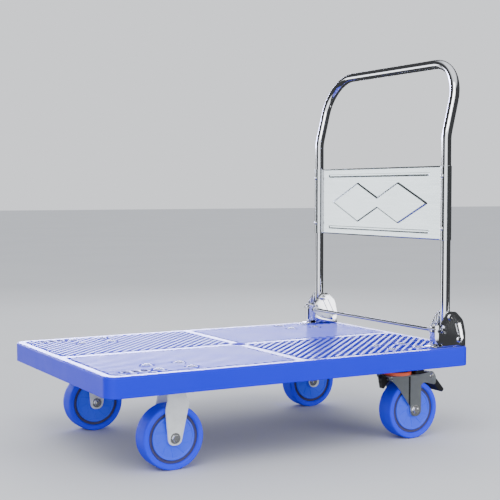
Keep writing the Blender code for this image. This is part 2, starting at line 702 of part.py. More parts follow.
def cheek_outline():
    end = DECK_LENGTH / 2
    return rounded([
        (end - 0.0745, BRACKET_BOTTOM, 0), (end - 0.0062, BRACKET_BOTTOM, 0),
        (end - 0.0066, DECK_TOP + 0.031, 0.01),
        (end - 0.0140, DECK_TOP + 0.062, 0.02), (end - 0.0350, DECK_TOP + 0.082, 0.012),
        (end - 0.0600, DECK_TOP + 0.084, 0.012), (end - 0.0790, DECK_TOP + 0.057, 0.012),
    ], 2)


def nose_outline(y):
    """Half ring in plan that closes the bracket's front, its ends running on into the cheeks."""
    turns = [math.pi / 2 + math.pi * step / 12 for step in range(13)]
    outer, inner = CHEEK_INNER + CHEEK - GAP, CHEEK_INNER + GAP
    ring = [(NOSE_X + outer * math.cos(turn), y + outer * math.sin(turn)) for turn in turns]
    ring += [(NOSE_END, y - outer), (NOSE_END, y - inner)]
    ring += [(NOSE_X + inner * math.cos(turn), y + inner * math.sin(turn)) for turn in reversed(turns)]
    return ring + [(NOSE_END, y + inner), (NOSE_END, y + outer)]


def make_bracket(name, side):
    y = side * TUBE_Y
    inner, outer = TUBE_Y - CHEEK_INNER - CHEEK / 2, TUBE_Y + CHEEK_INNER + CHEEK / 2
    low_y, high_y = sorted((side * inner, side * outer))
    foot = [((0.350, low_y, BRACKET_BOTTOM), (0.4425, high_y, BRACKET_BOTTOM + 0.003))]
    bracket = place("bracket_" + name, box_mesh("bracket_" + name, foot), (0, 0, 0), CHROME)
    holes = [
        circle((TUBE_X, PIVOT_Z), BOLT_RADIUS + GAP),
        circle(LEVER_PIN, BOLT_RADIUS + GAP),
    ]
    lock_slot = hull((*LOCK, 0.0048), (*LOCK_RAISED, 0.0048))
    window = hull((0.4150, 0.2660, 0.002), (0.4215, 0.2440, 0.002))
    cheeks = (("inner", inner, lock_slot), ("outer", outer, window))
    for cheek, at_y, slot in cheeks:
        outlines = [cheek_outline()] + holes + [slot]
        boolean(bracket, upright_sheet(f"bracket_{name}_{cheek}", outlines, CHEEK, side * at_y), "UNION")
    web = [((0.4395, low_y, BRACKET_BOTTOM + 0.001), (0.4422, high_y, 0.243))]
    boolean(bracket, place(f"bracket_{name}_web", box_mesh("web", web), (0, 0, 0)), "UNION")
    stop = [(0.0025, "Y", (0.3827, low_y, 0.248), high_y - low_y)]
    boolean(bracket, place(f"bracket_{name}_stop", rods_mesh("stop", stop, 8), (0, 0, 0)), "UNION")
    low, high = NOSE_HEIGHTS
    nose = sheet_mesh(f"bracket_{name}_nose", [nose_outline(y)], high - low)
    boolean(bracket, place(f"bracket_{name}_nose", nose, (0, 0, (low + high) / 2)), "UNION")
    notch = hull((ROD[0] - 0.004, ROD[1], 0.0052), (*ROD, 0.0052), (*ROD_RAISED, 0.0052))
    boolean(bracket, upright_sheet(f"bracket_{name}_notch", [notch], 0.06, y))


def make_pivot_bolt(name, side):
    """Bolt that the handle folds on, with its head outside and its nut inside the bracket."""
    face = CHEEK_INNER + CHEEK + GAP
    tip = BOLT_TIP_Y - TUBE_Y
    bolt = [
        (0, face + 0.0046), (0.0050, face + 0.0046), (0.0072, face + 0.0030), (0.0072, face),
        (BOLT_RADIUS, face), (BOLT_RADIUS, tip), (0, tip),
    ]
    nut_depth = 0.005
    at = (TUBE_X, side * TUBE_Y, PIVOT_Z)
    nut_at = (TUBE_X, side * (TUBE_Y - face - nut_depth / 2), PIVOT_Z)
    turned("pivot_bolt_" + name, bolt, at, CHROME, None, 12, -side * math.pi / 2)
    hex_nut("pivot_nut_" + name, 0.0078, BOLT_RADIUS + GAP, nut_depth, nut_at, ZINC)


def make_lever_bolt(name, side):
    """Rivet that the lever turns on; the spring is coiled round its inner end."""
    face = CHEEK_INNER + CHEEK + GAP
    tip = BOLT_TIP_Y - TUBE_Y
    profile = [
        (0, face + 0.0036), (0.0040, face + 0.0034), (0.0062, face + 0.0018), (0.0062, face),
        (BOLT_RADIUS, face), (BOLT_RADIUS, tip), (0.0068, tip), (0.0068, tip - 0.002), (0, tip - 0.002),
    ]
    at = (LEVER_PIN[0], side * TUBE_Y, LEVER_PIN[1])
    turned("lever_pin_" + name, profile, at, CHROME, None, 12, -side * math.pi / 2)


def make_spring(name, side):
    """Torsion spring: one leg leans on the pivot bolt, the other lifts the lock pin."""
    coil, wire, pitch = 0.0062, 0.0009, 0.0021
    first, last = math.radians(-103.5), math.radians(28 + 3 * 360)
    steps = 32
    path = []
    for step in range(steps + 1):
        angle = first + (last - first) * step / steps
        y = 0.2448 - pitch * (angle - first) / (2 * math.pi)
        x, z = LEVER_PIN[0] + coil * math.cos(angle), LEVER_PIN[1] + coil * math.sin(angle)
        path.append((x, side * y, z))
    under = Vector(path[0]) + 0.028 * Vector((math.sin(first), 0, -math.cos(first)))
    upper = Vector(path[-1]) + 0.054 * Vector((-math.sin(last), 0, math.cos(last)))
    path = [tuple(under)] + path + [tuple(upper)]
    place("release_spring_" + name, wire_mesh("release_spring_" + name, path, wire, 1), (0, 0, 0), STEEL)


def make_lever(name, side, axis):
    """Lever between the foot bar and its rivet, with the lock pin that enters the tube's tail."""
    outline = hull((*LEVER_PIN, 0.009), (*LOCK, 0.0078), (*ROD, 0.0080))
    holes = [circle(LEVER_PIN, BOLT_RADIUS + GAP), circle(ROD, ROD_RADIUS + GAP)]
    y = side * (LEVER_INNER + LEVER_THICKNESS / 2)
    lever = upright_sheet("release_lever_" + name, [outline] + holes, LEVER_THICKNESS, y, ZINC, axis)
    start = 0.2420 if side > 0 else -0.2830
    pin = [(0.0040, "Y", (LOCK[0], start, LOCK[1]), 0.0410)]
    boolean(lever, place(f"lock_pin_{name}", rods_mesh("lock_pin", pin), (0, 0, 0)), "UNION")


def make_foot_bar(axis):
    end = 0.2935
    profile = [
        (0, end), (0.0030, end), (ROD_RADIUS, end - 0.001), (ROD_RADIUS, -end + 0.001),
        (0.0030, -end), (0, -end),
    ]
    turned("foot_bar", profile, (ROD[0], 0, ROD[1]), CHROME, axis, 12, math.pi / 2)


def main():
    make_deck()
    for name, side in SIDES.items():
        make_front_caster(name, side)
        make_rear_caster(name, side)
        make_bracket(name, side)
        make_pivot_bolt(name, side)
        make_lever_bolt(name, side)
        make_spring(name, side)
    handle_axis = Joint("handle_axis", (TUBE_X, 0, PIVOT_Z))
    make_handle_tube(handle_axis)
    make_panel(handle_axis)
    make_panel_screws(handle_axis)
    release_axis = Joint("release_axis", (LEVER_PIN[0], 0, LEVER_PIN[1]))
    for name, side in SIDES.items():
        make_lever(name, side, release_axis)
    make_foot_bar(release_axis)


main()
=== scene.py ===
import math

import bmesh
import bpy
from mathutils import Matrix, Vector
from mathutils.geometry import convex_hull_2d


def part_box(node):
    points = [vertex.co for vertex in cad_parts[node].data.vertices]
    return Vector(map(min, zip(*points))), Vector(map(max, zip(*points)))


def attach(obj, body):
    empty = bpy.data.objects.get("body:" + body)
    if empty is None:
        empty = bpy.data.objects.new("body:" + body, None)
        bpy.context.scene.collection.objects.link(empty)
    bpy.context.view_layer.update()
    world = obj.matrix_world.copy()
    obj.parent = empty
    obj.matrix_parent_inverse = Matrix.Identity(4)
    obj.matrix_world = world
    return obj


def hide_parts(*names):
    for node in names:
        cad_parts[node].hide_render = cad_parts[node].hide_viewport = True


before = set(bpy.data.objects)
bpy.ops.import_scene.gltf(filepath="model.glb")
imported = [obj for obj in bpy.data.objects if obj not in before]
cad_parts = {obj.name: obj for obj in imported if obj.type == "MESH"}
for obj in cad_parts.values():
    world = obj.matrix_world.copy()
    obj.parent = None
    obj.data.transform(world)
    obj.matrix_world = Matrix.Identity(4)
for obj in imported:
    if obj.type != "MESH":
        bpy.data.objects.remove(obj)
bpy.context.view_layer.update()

SIDES = {"left": -1, "right": 1}
ACROSS = Matrix.Rotation(math.pi / 2, 4, "X")
GAP = 0.0003

# Deck, from its CAD box, which ends at the load field 0.8 mm above the border.
DECK_LOW, DECK_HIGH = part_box("deck")
HALF_LENGTH, HALF_WIDTH = DECK_HIGH.x, DECK_HIGH.y
BOTTOM = DECK_LOW.z
RIB_TOP = DECK_HIGH.z
RISE = 0.0008
TOP = RIB_TOP - RISE
FLOOR = TOP - RISE
CEILING = TOP - 0.005
CORNER = 0.028
BORDER = 0.0175
STRIP = 0.0095
NOTCH = (0.343, 0.240)
DISC_RADIUS = 0.0190
DISC_COLLAR = 0.0245
RIB_PITCH = 0.01557
RIB_HALF = 0.0031
SLOT_HALF = (0.0060, 0.0070)
SLOT_PITCH = 0.020
SLOT_AT = (-0.3715, 0.252)
BOLT_PITCH = (0.074, 0.062)
PAD_RADIUS = 0.0125

# Casters.
PLATE_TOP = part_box("rear_left_plate")[1].z
PLATE_BOTTOM = PLATE_TOP - 0.004
LEG_INNER = 0.0248
LEG_OUTER = 0.0278
FORK_TOP = 0.150
SHEET = LEG_OUTER - LEG_INNER
TRAIL = 0.033
# Width of the web strip beside the strap that is painted near black as shade.
SHADE_STRIP = 0.0046


def middle(node):
    low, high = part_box(node)
    return (low + high) / 2


SWIVEL = {name: middle(f"rear_{name}_kingpin") for name in SIDES}
WHEELS = {
    f"{end}_{name}": middle(f"{end}_{name}_tyre") for end in ("front", "rear") for name in SIDES
}
FRONT_X = WHEELS["front_left"].x
SWIVEL_X = SWIVEL["left"].x
WHEEL_Y = abs(SWIVEL["left"].y)
WHEEL_RADIUS = WHEELS["front_left"].z
BRAKE_PIN = (SWIVEL_X + 0.0803, 0.1440)
TAB_PIN = (SWIVEL_X - 0.0290, 0.1415)

# Handle, brackets and foot bar.
TUBE_X, TUBE_Y, TUBE_RADIUS = 0.3965, 0.2692, 0.011
TAIL_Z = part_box("handle_tube")[0].z
PIVOT_Z = middle("pivot_bolt_left").z
KINK_Z, KINK_RADIUS = 0.700, 0.10
BAR_X, BAR_Z = 0.4385, 0.873
TURN_RADIUS = 0.095
PANEL_LOW, PANEL_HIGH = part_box("panel")
SCREW_HEIGHTS = (0.4863, 0.6074)
CHEEK, CHEEK_INNER = 0.0025, 0.0150
BRACKET_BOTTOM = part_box("bracket_left")[0].z
LEVER_PIN = (0.4235, 0.230)
ROD = (0.373, 0.252)
ROD_RAISED = (0.3776, 0.2604)
ROD_RADIUS = 0.004
LOCK = (0.3965, 0.2355)
LOCK_RAISED = (0.3979, 0.2401)


# Materials.

def add_node(tree, kind, inputs=None, **settings):
    made = tree.nodes.new(kind)
    for key, value in settings.items():
        setattr(made, key, value)
    for key, value in (inputs or {}).items():
        if isinstance(value, bpy.types.NodeSocket):
            tree.links.new(value, made.inputs[key])
        else:
            made.inputs[key].default_value = value
    return made


class Finish:
    """A procedural material on a Principled shader, built up layer by layer."""

    def __init__(self, name, colour, roughness, metallic=0.0, **constants):
        self.material = bpy.data.materials.new(name)
        self.material.use_nodes = True
        self.tree = self.material.node_tree
        self.shader = self.tree.nodes["Principled BSDF"]
        self.place = add_node(self.tree, "ShaderNodeTexCoord").outputs["Object"]
        self.set("Metallic", metallic)
        self.set("Roughness", roughness)
        self.set("Base Color", (*colour, 1.0))
        for key, value in constants.items():
            self.set(key.replace("_", " "), value)
        self.colour = None
        self.normal = None

    def set(self, socket, value):
        self.shader.inputs[socket].default_value = value

    def stretched(self, scale):
        mapping = add_node(self.tree, "ShaderNodeMapping", {"Vector": self.place, "Scale": scale})
        return mapping.outputs["Vector"]

    def noise(self, scale, detail=3.0, stretch=None):
        where = self.stretched(stretch) if stretch else self.place
        inputs = {"Vector": where, "Scale": scale, "Detail": detail}
        return add_node(self.tree, "ShaderNodeTexNoise", inputs).outputs["Fac"]

    def spots(self, scale):
        inputs = {"Vector": self.place, "Scale": scale}
        return add_node(self.tree, "ShaderNodeTexVoronoi", inputs).outputs["Distance"]

    def ramp(self, value, low, high, start=0.0, end=1.0):
        inputs = {"Value": value, "From Min": low, "From Max": high, "To Min": start, "To Max": end}
        made = add_node(self.tree, "ShaderNodeMapRange", inputs)
        made.clamp = True
        return made.outputs["Result"]

    def tint(self, mask, colour):
        """Lay a colour over the base where the mask is high."""
        base = self.colour or self.shader.inputs["Base Color"].default_value[:]
        made = add_node(self.tree, "ShaderNodeMix", data_type="RGBA")
        self.link_or_set(made.inputs[6], base)
        made.inputs[7].default_value = (*colour, 1.0)
        self.tree.links.new(mask, made.inputs[0])
        self.colour = made.outputs[2]
        self.tree.links.new(self.colour, self.shader.inputs["Base Color"])
        return self

    def link_or_set(self, socket, value):
        if isinstance(value, bpy.types.NodeSocket):
            self.tree.links.new(value, socket)
        else:
            socket.default_value = value

    def gloss(self, mask, low, high):
        """Roughness that runs from low to high with the mask."""
        self.tree.links.new(self.ramp(mask, 0.0, 1.0, low, high), self.shader.inputs["Roughness"])
        return self

    def bump(self, height, distance, strength=1.0):
        inputs = {"Height": height, "Distance": distance, "Strength": strength}
        if self.normal:
            inputs["Normal"] = self.normal
        self.normal = add_node(self.tree, "ShaderNodeBump", inputs).outputs["Normal"]
        self.tree.links.new(self.normal, self.shader.inputs["Normal"])
        return self


def moulded(name, colour, paler, roughness, grain=0.00004, **constants):
    """Moulded plastic: fine spark grain, slight flow marks, thin scuffs and a little dust."""
    look = Finish(name, colour, roughness, IOR=1.5, **constants)
    cloud = look.noise(9.0, 4.0)
    look.tint(look.ramp(cloud, 0.42, 0.75, 0.0, 0.35), paler)
    scuff = look.noise(160.0, 5.0, (1.0, 6.0, 3.0))
    look.tint(look.ramp(scuff, 0.60, 0.80, 0.0, 0.30), paler)
    look.gloss(look.noise(34.0, 4.0), roughness - 0.05, roughness + 0.08)
    look.bump(look.noise(1500.0, 2.0), grain)
    return look.bump(look.noise(14.0, 2.0), 0.0002, 0.15)


def polished(name, tone, roughness, metallic=1.0, wear=0.20):
    """Bright plated steel: faint polishing lines, smudges and pin-prick pitting."""
    look = Finish(name, tone, roughness, metallic)
    smudge = look.noise(26.0, 5.0)
    look.tint(look.ramp(smudge, 0.55, 0.85, 0.0, wear), tuple(0.72 * part for part in tone))
    look.gloss(look.ramp(smudge, 0.35, 0.80), roughness, roughness + 0.06)
    look.bump(look.noise(900.0, 2.0, (1.0, 1.0, 0.05)), 0.000002, 0.15)
    pits = look.spots(160.0)
    return look.bump(look.ramp(pits, 0.0, 0.05), 0.00001, 0.10)


def satin(name, tone, roughness, metallic):
    """Zinc-plated pressed steel: soft mottling, draw lines along the sheet and dull patches."""
    look = Finish(name, tone, roughness, metallic)
    mottle = look.noise(70.0, 5.0)
    look.tint(look.ramp(mottle, 0.40, 0.75, 0.0, 0.40), tuple(0.72 * part for part in tone))
    look.gloss(look.noise(40.0, 5.0), roughness - 0.08, roughness + 0.12)
    look.bump(look.noise(260.0, 3.0, (3.0, 1.0, 0.12)), 0.00002, 0.5)
    return look.bump(look.noise(1400.0, 2.0), 0.00001, 0.35)


def brushed(name, tone, roughness):
    """Sheet brushed along its width, with a lacquer coat."""
    look = Finish(name, tone, roughness, 1.0, Coat_Weight=0.25, Coat_Roughness=0.12)
    lines = look.noise(900.0, 4.0, (1.0, 0.012, 1.0))
    look.tint(look.ramp(lines, 0.35, 0.75, 0.0, 0.5), tuple(0.80 * part for part in tone))
    look.gloss(lines, roughness - 0.04, roughness + 0.08)
    return look.bump(lines, 0.00001, 0.3)


def rubbery(name, colour, paler, roughness):
    """Cast polyurethane: a soft sheen, cloudy depth, and dust rubbed into its skin."""
    look = Finish(name, colour, roughness, IOR=1.5, Specular_IOR_Level=0.25)
    look.tint(look.ramp(look.noise(16.0, 4.0), 0.40, 0.75, 0.0, 0.30), paler)
    look.tint(look.ramp(look.noise(230.0, 5.0), 0.62, 0.85, 0.0, 0.30), paler)
    look.gloss(look.noise(30.0, 4.0), roughness - 0.08, roughness + 0.12)
    return look.bump(look.noise(700.0, 3.0), 0.00003, 0.6)


LOOKS = {
    "deck": (
        moulded("deck_side", (0.0, 0.001, 0.72), (0.006, 0.008, 0.76), 0.34, Specular_IOR_Level=0.22),
        "deck_plastic"),
    # Flat top border: a paler copy of the deck plastic than the sides, a painted sheen.
    "border": (moulded("deck_border_painted_sheen", (0.06, 0.07, 0.95), (0.16, 0.18, 0.97), 0.24), "deck_plastic"),
    # Groove floors and underside ribs: a darker copy of the deck plastic, painted shade.
    "grain": (
        moulded("deck_grain_painted_shade", (0.010, 0.012, 0.42), (0.03, 0.04, 0.50), 0.60, 0.00012,
                Specular_IOR_Level=0.02), "deck_plastic"),
    # Rib and pad tops: a paler copy of the deck plastic, a painted sheen.
    "rib": (moulded("deck_rib_painted_sheen", (0.16, 0.18, 0.95), (0.40, 0.42, 0.97), 0.30), "deck_plastic"),
    # Sunk centre disc: a darker copy of the deck plastic, painted shade.
    "disc": (
        moulded("deck_disc_painted_shade", (0.003, 0.006, 0.50), (0.01, 0.02, 0.60), 0.45, Specular_IOR_Level=0.03),
        "deck_plastic"),
    # Slot walls: a near-black copy of the deck plastic, painted shade inside the slots.
    "hole": (
        moulded("deck_slot_painted_shade", (0.002, 0.003, 0.05), (0.005, 0.006, 0.12), 0.55, Specular_IOR_Level=0.0),
        "deck_plastic"),
    "tyre": (rubbery("tyre_cast", (0.010, 0.026, 0.97), (0.04, 0.08, 0.97), 0.52), "tyre_blue"),
    "hub": (
        moulded("hub_moulded", (0.035, 0.085, 0.97), (0.08, 0.14, 0.97), 0.40, Specular_IOR_Level=0.35),
        "hub_blue"),
    "rim": (moulded("rim_moulded", (0.060, 0.055, 0.150), (0.10, 0.10, 0.18), 0.55), "rim_grey"),
    "chrome": (polished("chrome_plate", (0.86, 0.87, 0.90), 0.065), "chrome"),
    "bolt": (polished("bolt_plate", (0.88, 0.89, 0.90), 0.12, 0.88), "zinc"),
    # Deck bolt heads: a lavender copy of the zinc plate, a painted bluish reflection.
    "cap": (polished("cap_plate_painted_reflection", (0.66, 0.68, 0.94), 0.20, 0.8), "zinc"),
    "zinc": (satin("zinc_sheet", (0.94, 0.97, 0.98), 0.34, 0.30), "zinc"),
    "dark_zinc": (satin("zinc_sheet_dark", (0.50, 0.54, 0.57), 0.32, 0.85), "zinc"),
    # Near-black zinc for the web strip beside the fork strap: painted shade in the step.
    "seam": (satin("zinc_painted_groove_shade", (0.030, 0.032, 0.040), 0.45, 0.5), "zinc"),
    # Foot bar: a darker, bluer copy of the chrome plate, painted shade with a bluish painted reflection.
    "bar": (polished("bar_chrome_painted_shade", (0.50, 0.51, 0.58), 0.10), "chrome"),
    "panel": (brushed("panel_sheet", (0.79, 0.87, 0.88), 0.17), "panel_steel"),
    "reverse": (satin("panel_reverse", (0.66, 0.70, 0.71), 0.36, 0.40), "panel_steel"),
    "sleeve": (polished("sleeve_sheet", (0.80, 0.83, 0.85), 0.13), "panel_steel"),
    "spring": (polished("spring_steel", (0.72, 0.74, 0.76), 0.14), "panel_steel"),
    "black": (moulded("black_moulded", (0.012, 0.012, 0.014), (0.05, 0.05, 0.055), 0.34), "black_plastic"),
    "orange": (moulded("orange_moulded", (0.80, 0.09, 0.03), (0.85, 0.20, 0.10), 0.40), "orange_plastic"),
}


def add(name, bm, look, body, nodes=(), extra=(), sharp=32, even=True):
    """A finished piece of the object on a CAD body, with the nodes that it stands for."""
    mesh = finish(name, bm, sharp)
    obj = bpy.data.objects.new(name, mesh)
    bpy.context.scene.collection.objects.link(obj)
    for key in (look, *extra):
        mesh.materials.append(LOOKS[key][0].material)
    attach(obj, body)
    if nodes:
        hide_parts(*nodes)
    if even:
        obj.modifiers.new("normals", "WEIGHTED_NORMAL").keep_sharp = True
    return obj


def skin(node, bm, look, body, sharp=32, extra=(), even=True):
    """A piece that stands for one CAD node and is named after it."""
    return add(node + "_skin", bm, look, body, [node], extra, sharp, even)


# Outlines.

def circle(x, z, radius, steps=40):
    turns = [math.tau * step / steps for step in range(steps)]
    return [(x + radius * math.cos(turn), z + radius * math.sin(turn)) for turn in turns]


def hull(*circles):
    """The outline of a belt drawn tight round circles of (x, z, radius)."""
    points = [point for each in circles for point in circle(*each)]
    return [points[index] for index in convex_hull_2d(points)]


def rounded(corners, steps=6):
    """A closed outline whose corners (x, z, radius) are replaced by arcs."""
    outline = []
    for index, (x, z, radius) in enumerate(corners):
        here = Vector((x, z))
        if radius == 0:
            outline.append((x, z))
            continue
        back = (Vector(corners[index - 1][:2]) - here).normalized()
        ahead = (Vector(corners[(index + 1) % len(corners)][:2]) - here).normalized()
        half = back.angle(ahead) / 2
        centre = here + (back + ahead).normalized() * (radius / math.sin(half))
        start = here + back * (radius / math.tan(half)) - centre
        end = here + ahead * (radius / math.tan(half)) - centre
        turn = math.atan2(start.x * end.y - start.y * end.x, start.dot(end))
        for step in range(steps + 1):
            angle = math.atan2(start.y, start.x) + turn * step / steps
            outline.append((centre.x + radius * math.cos(angle), centre.y + radius * math.sin(angle)))
    return outline


def area(outline):
    pairs = zip(outline, outline[1:] + outline[:1])
    return sum(a[0] * b[1] - b[0] * a[1] for a, b in pairs) / 2


def counterclockwise(outline):
    return outline if area(outline) > 0 else outline[::-1]


def inset(outline, distance):
    """A counterclockwise outline moved inwards by a distance."""
    made = []
    for index, here in enumerate(outline):
        before = Vector(here) - Vector(outline[index - 1])
        after = Vector(outline[(index + 1) % len(outline)]) - Vector(here)
        normals = [Vector((-edge.y, edge.x)).normalized() for edge in (before, after)]
        mean = (normals[0] + normals[1]).normalized()
        reach = distance / max(mean.dot(normals[0]), 0.4)
        made.append((here[0] + mean.x * reach, here[1] + mean.y * reach))
    return made


# Meshes.

def finish(name, bm, sharp=32):
    """A smooth-shaded mesh with sharp edges where its faces meet steeply."""
    mesh = bpy.data.meshes.new(name)
    bm.to_mesh(mesh)
    bm.free()
    mesh.shade_smooth()
    mesh.set_sharp_from_angle(angle=math.radians(sharp))
    return mesh


def ring(bm, points):
    return [bm.verts.new(point) for point in points]


def bridge(bm, first, second):
    """Quads between two closed rings of the same count."""
    for index, vert in enumerate(first):
        after = (index + 1) % len(first)
        bm.faces.new((vert, first[after], second[after], second[index]))


def loft(bm, rings):
    for first, second in zip(rings, rings[1:]):
        bridge(bm, first, second)


def level(bm, outline, z):
    return ring(bm, [(x, y, z) for x, y in outline])


def sound(bm):
    """The bmesh with all its faces pointing outwards."""
    bmesh.ops.recalc_face_normals(bm, faces=bm.faces)
    return bm


def fill(bm, loops):
    """Triangles between closed loops that lie in one plane."""
    edges = []
    for loop in loops:
        for index, vert in enumerate(loop):
            pair = (loop[index - 1], vert)
            edges.append(bm.edges.get(pair) or bm.edges.new(pair))
    made = bmesh.ops.triangle_fill(bm, use_beauty=True, edges=edges, normal=(0, 0, 1))
    return [face for face in made["geom"] if isinstance(face, bmesh.types.BMFace)]


def plate(outline, thickness, holes=(), edge=0.0004, flange=0.0):
    """A flat plate in the XY plane with softened edges, and a turned-down flange if asked."""
    bm = bmesh.new()
    high, low = thickness / 2, -thickness / 2
    section = [(edge, high), (0.3 * edge, high - 0.3 * edge), (0, high - edge)]
    if flange:
        bend = 0.0022
        section = [(bend, high), (0.3 * bend, high - 0.3 * bend), (0, high - bend), (0, -flange)]
        section += [(thickness, -flange), (thickness, high - thickness - 0.5 * bend)]
        section += [(thickness + 0.5 * bend, high - thickness)]
        low = high - thickness
    else:
        section += [(0, low + edge), (0.3 * edge, low + 0.3 * edge), (edge, low)]
    tops, bottoms = [], []
    loops = [(counterclockwise(outline), section)]
    soft = [(-edge, high), (0, high - edge), (0, low + edge), (-edge, low)]
    loops += [(counterclockwise(hole), soft) for hole in holes]
    for points, shape in loops:
        rings = [level(bm, inset(points, away), depth) for away, depth in shape]
        loft(bm, rings)
        tops.append(rings[0])
        bottoms.append(rings[-1])
    fill(bm, tops)
    fill(bm, bottoms)
    return sound(bm)


def moved(bm, matrix):
    bmesh.ops.transform(bm, matrix=matrix, verts=bm.verts)
    return bm


def placed(bm, x, y, z):
    bmesh.ops.translate(bm, vec=(x, y, z), verts=bm.verts)
    return bm


def outward(at, side):
    """The matrix that puts a part turned about Z at a place, pointing out of the cart's side."""
    return Matrix.Translation(at) @ Matrix.Rotation(-side * math.pi / 2, 4, "X")


def upright(bm, y):
    """Stand a plate made in (x, z) in a plane of constant Y."""
    return moved(bm, Matrix.Translation((0, y, 0)) @ ACROSS)


def lathe(profile, steps=64, at=(0, 0, 0)):
    """A turned body: a profile of (radius, height) that ends on the axis, or closes on itself."""
    bm = bmesh.new()
    rings = []
    for radius, height in profile:
        if radius < 1e-7:
            rings.append([bm.verts.new((0, 0, height))])
            continue
        rings.append(level(bm, circle(0, 0, radius, steps), height))
    pairs = list(zip(rings, rings[1:]))
    if profile[0][0] > 1e-7:
        pairs.append((rings[-1], rings[0]))
    for first, second in pairs:
        if len(first) == 1 or len(second) == 1:
            tip, rim = (first[0], second) if len(first) == 1 else (second[0], first)
            for index, vert in enumerate(rim):
                bm.faces.new((tip, rim[index - 1], vert))
        else:
            bridge(bm, first, second)
    return moved(sound(bm), Matrix.Translation(at))


def sweep(path, radius, steps=12, wall=0.0):
    """A round rod or tube along a path, with flat ends."""
    bm = bmesh.new()
    points = [Vector(point) for point in path]
    side = Vector((0, 1, 0)) if abs((points[1] - points[0]).normalized().y) < 0.9 else Vector((1, 0, 0))
    frames = []
    for index, point in enumerate(points):
        ahead = points[min(index + 1, len(points) - 1)] - points[max(index - 1, 0)]
        ahead.normalize()
        side = (side - ahead * side.dot(ahead)).normalized()
        frames.append((point, side.copy(), ahead.cross(side)))
    radii = [radius, radius - wall] if wall else [radius]
    skins = []
    for size in radii:
        rings = []
        for point, u, v in frames:
            spots = circle(0, 0, size, steps)
            rings.append(ring(bm, [point + u * a + v * b for a, b in spots]))
        loft(bm, rings)
        skins.append(rings)
    for end in (0, -1):
        if wall:
            bridge(bm, skins[0][end], skins[1][end])
        else:
            bm.faces.new(skins[0][end])
    return sound(bm)


def box(low, high, edge=0.0004):
    """A block with softened edges."""
    bm = bmesh.new()
    made = bmesh.ops.create_cube(bm, size=1.0)["verts"]
    low, high = Vector(low), Vector(high)
    bmesh.ops.scale(bm, vec=high - low, verts=made)
    bmesh.ops.translate(bm, vec=(low + high) / 2, verts=made)
    if edge:
        bmesh.ops.bevel(bm, geom=bm.edges[:], offset=edge, segments=2, profile=0.5, affect="EDGES")
    return bm


def joined(*parts):
    """One bmesh of several, which are freed."""
    whole = bmesh.new()
    for part in parts:
        mesh = bpy.data.meshes.new("part")
        part.to_mesh(mesh)
        part.free()
        whole.from_mesh(mesh)
        bpy.data.meshes.remove(mesh)
    return whole


def carved(target, tool):
    """The first bmesh with the second cut out of it."""
    objects = []
    for part in (target, tool):
        mesh = bpy.data.meshes.new("boolean")
        part.to_mesh(mesh)
        part.free()
        obj = bpy.data.objects.new("boolean", mesh)
        bpy.context.scene.collection.objects.link(obj)
        objects.append(obj)
    modifier = objects[0].modifiers.new("boolean", "BOOLEAN")
    modifier.object = objects[1]
    modifier.operation = "DIFFERENCE"
    bpy.context.view_layer.update()
    graph = bpy.context.evaluated_depsgraph_get()
    result = bpy.data.meshes.new_from_object(objects[0].evaluated_get(graph))
    bm = bmesh.new()
    bm.from_mesh(result)
    bpy.data.meshes.remove(result)
    for obj in objects:
        bpy.data.objects.remove(obj)
    return bm


# Deck.

def slab_ring(away, steps=10):
    """The deck's outline, a distance inside its sides."""
    x, y, radius = HALF_LENGTH - away, HALF_WIDTH - away, max(CORNER - away, 0.0012)
    return rounded([(-x, -y, radius), (x, -y, radius), (x, y, radius), (-x, y, radius)], steps)


def bolt_places():
    """Where the sixteen caster bolts go through the deck."""
    return [
        (centre + dx * BOLT_PITCH[0] / 2, side * WHEEL_Y + dy * BOLT_PITCH[1] / 2)
        for centre in (FRONT_X, SWIVEL_X)
        for side in (-1, 1)
        for dx in (-1, 1)
        for dy in (-1, 1)
    ]


def slot_places():
    return [
        (SLOT_AT[0] + step * SLOT_PITCH, side * SLOT_AT[1]) for side in (-1, 1) for step in (-1, 0, 1)
    ]


def slot_outline(x, y, grow=0.0):
    a, b, radius = SLOT_HALF[0] + grow, SLOT_HALF[1] + grow, SLOT_HALF[0] * 0.6
    corners = [(x - a, y - b), (x + a, y - b), (x + a, y + b), (x - a, y + b)]
    return rounded([(u, v, radius) for u, v in corners], 5)


def field_outline(sx, sy):
    """One of the four sunk fields of the top, cut back round the disc and the bracket."""
    reach = math.sqrt(DISC_COLLAR ** 2 - STRIP ** 2)
    first, last = math.atan2(reach, STRIP), math.atan2(STRIP, reach)
    arc = [first + (last - first) * step / 8 for step in range(9)]
    inner = [(DISC_COLLAR * math.cos(turn), DISC_COLLAR * math.sin(turn), 0) for turn in arc]
    x, y = HALF_LENGTH - BORDER, HALF_WIDTH - BORDER
    if sx > 0:
        outer = [(x, STRIP, 0.012), (x, NOTCH[1], 0.010), (NOTCH[0], NOTCH[1], 0.008), (NOTCH[0], y, 0.010)]
    else:
        outer = [(x, STRIP, 0.012), (x, y, 0.020)]
    corners = inner + outer + [(STRIP, y, 0.012)]
    return counterclockwise([(sx * u, sy * v) for u, v in rounded(corners)])


def inside(outline, x, y):
    odd = False
    for index, (x1, y1) in enumerate(outline):
        x0, y0 = outline[index - 1]
        if (y0 > y) != (y1 > y) and x < x0 + (y - y0) * (x1 - x0) / (y1 - y0):
            odd = not odd
    return odd


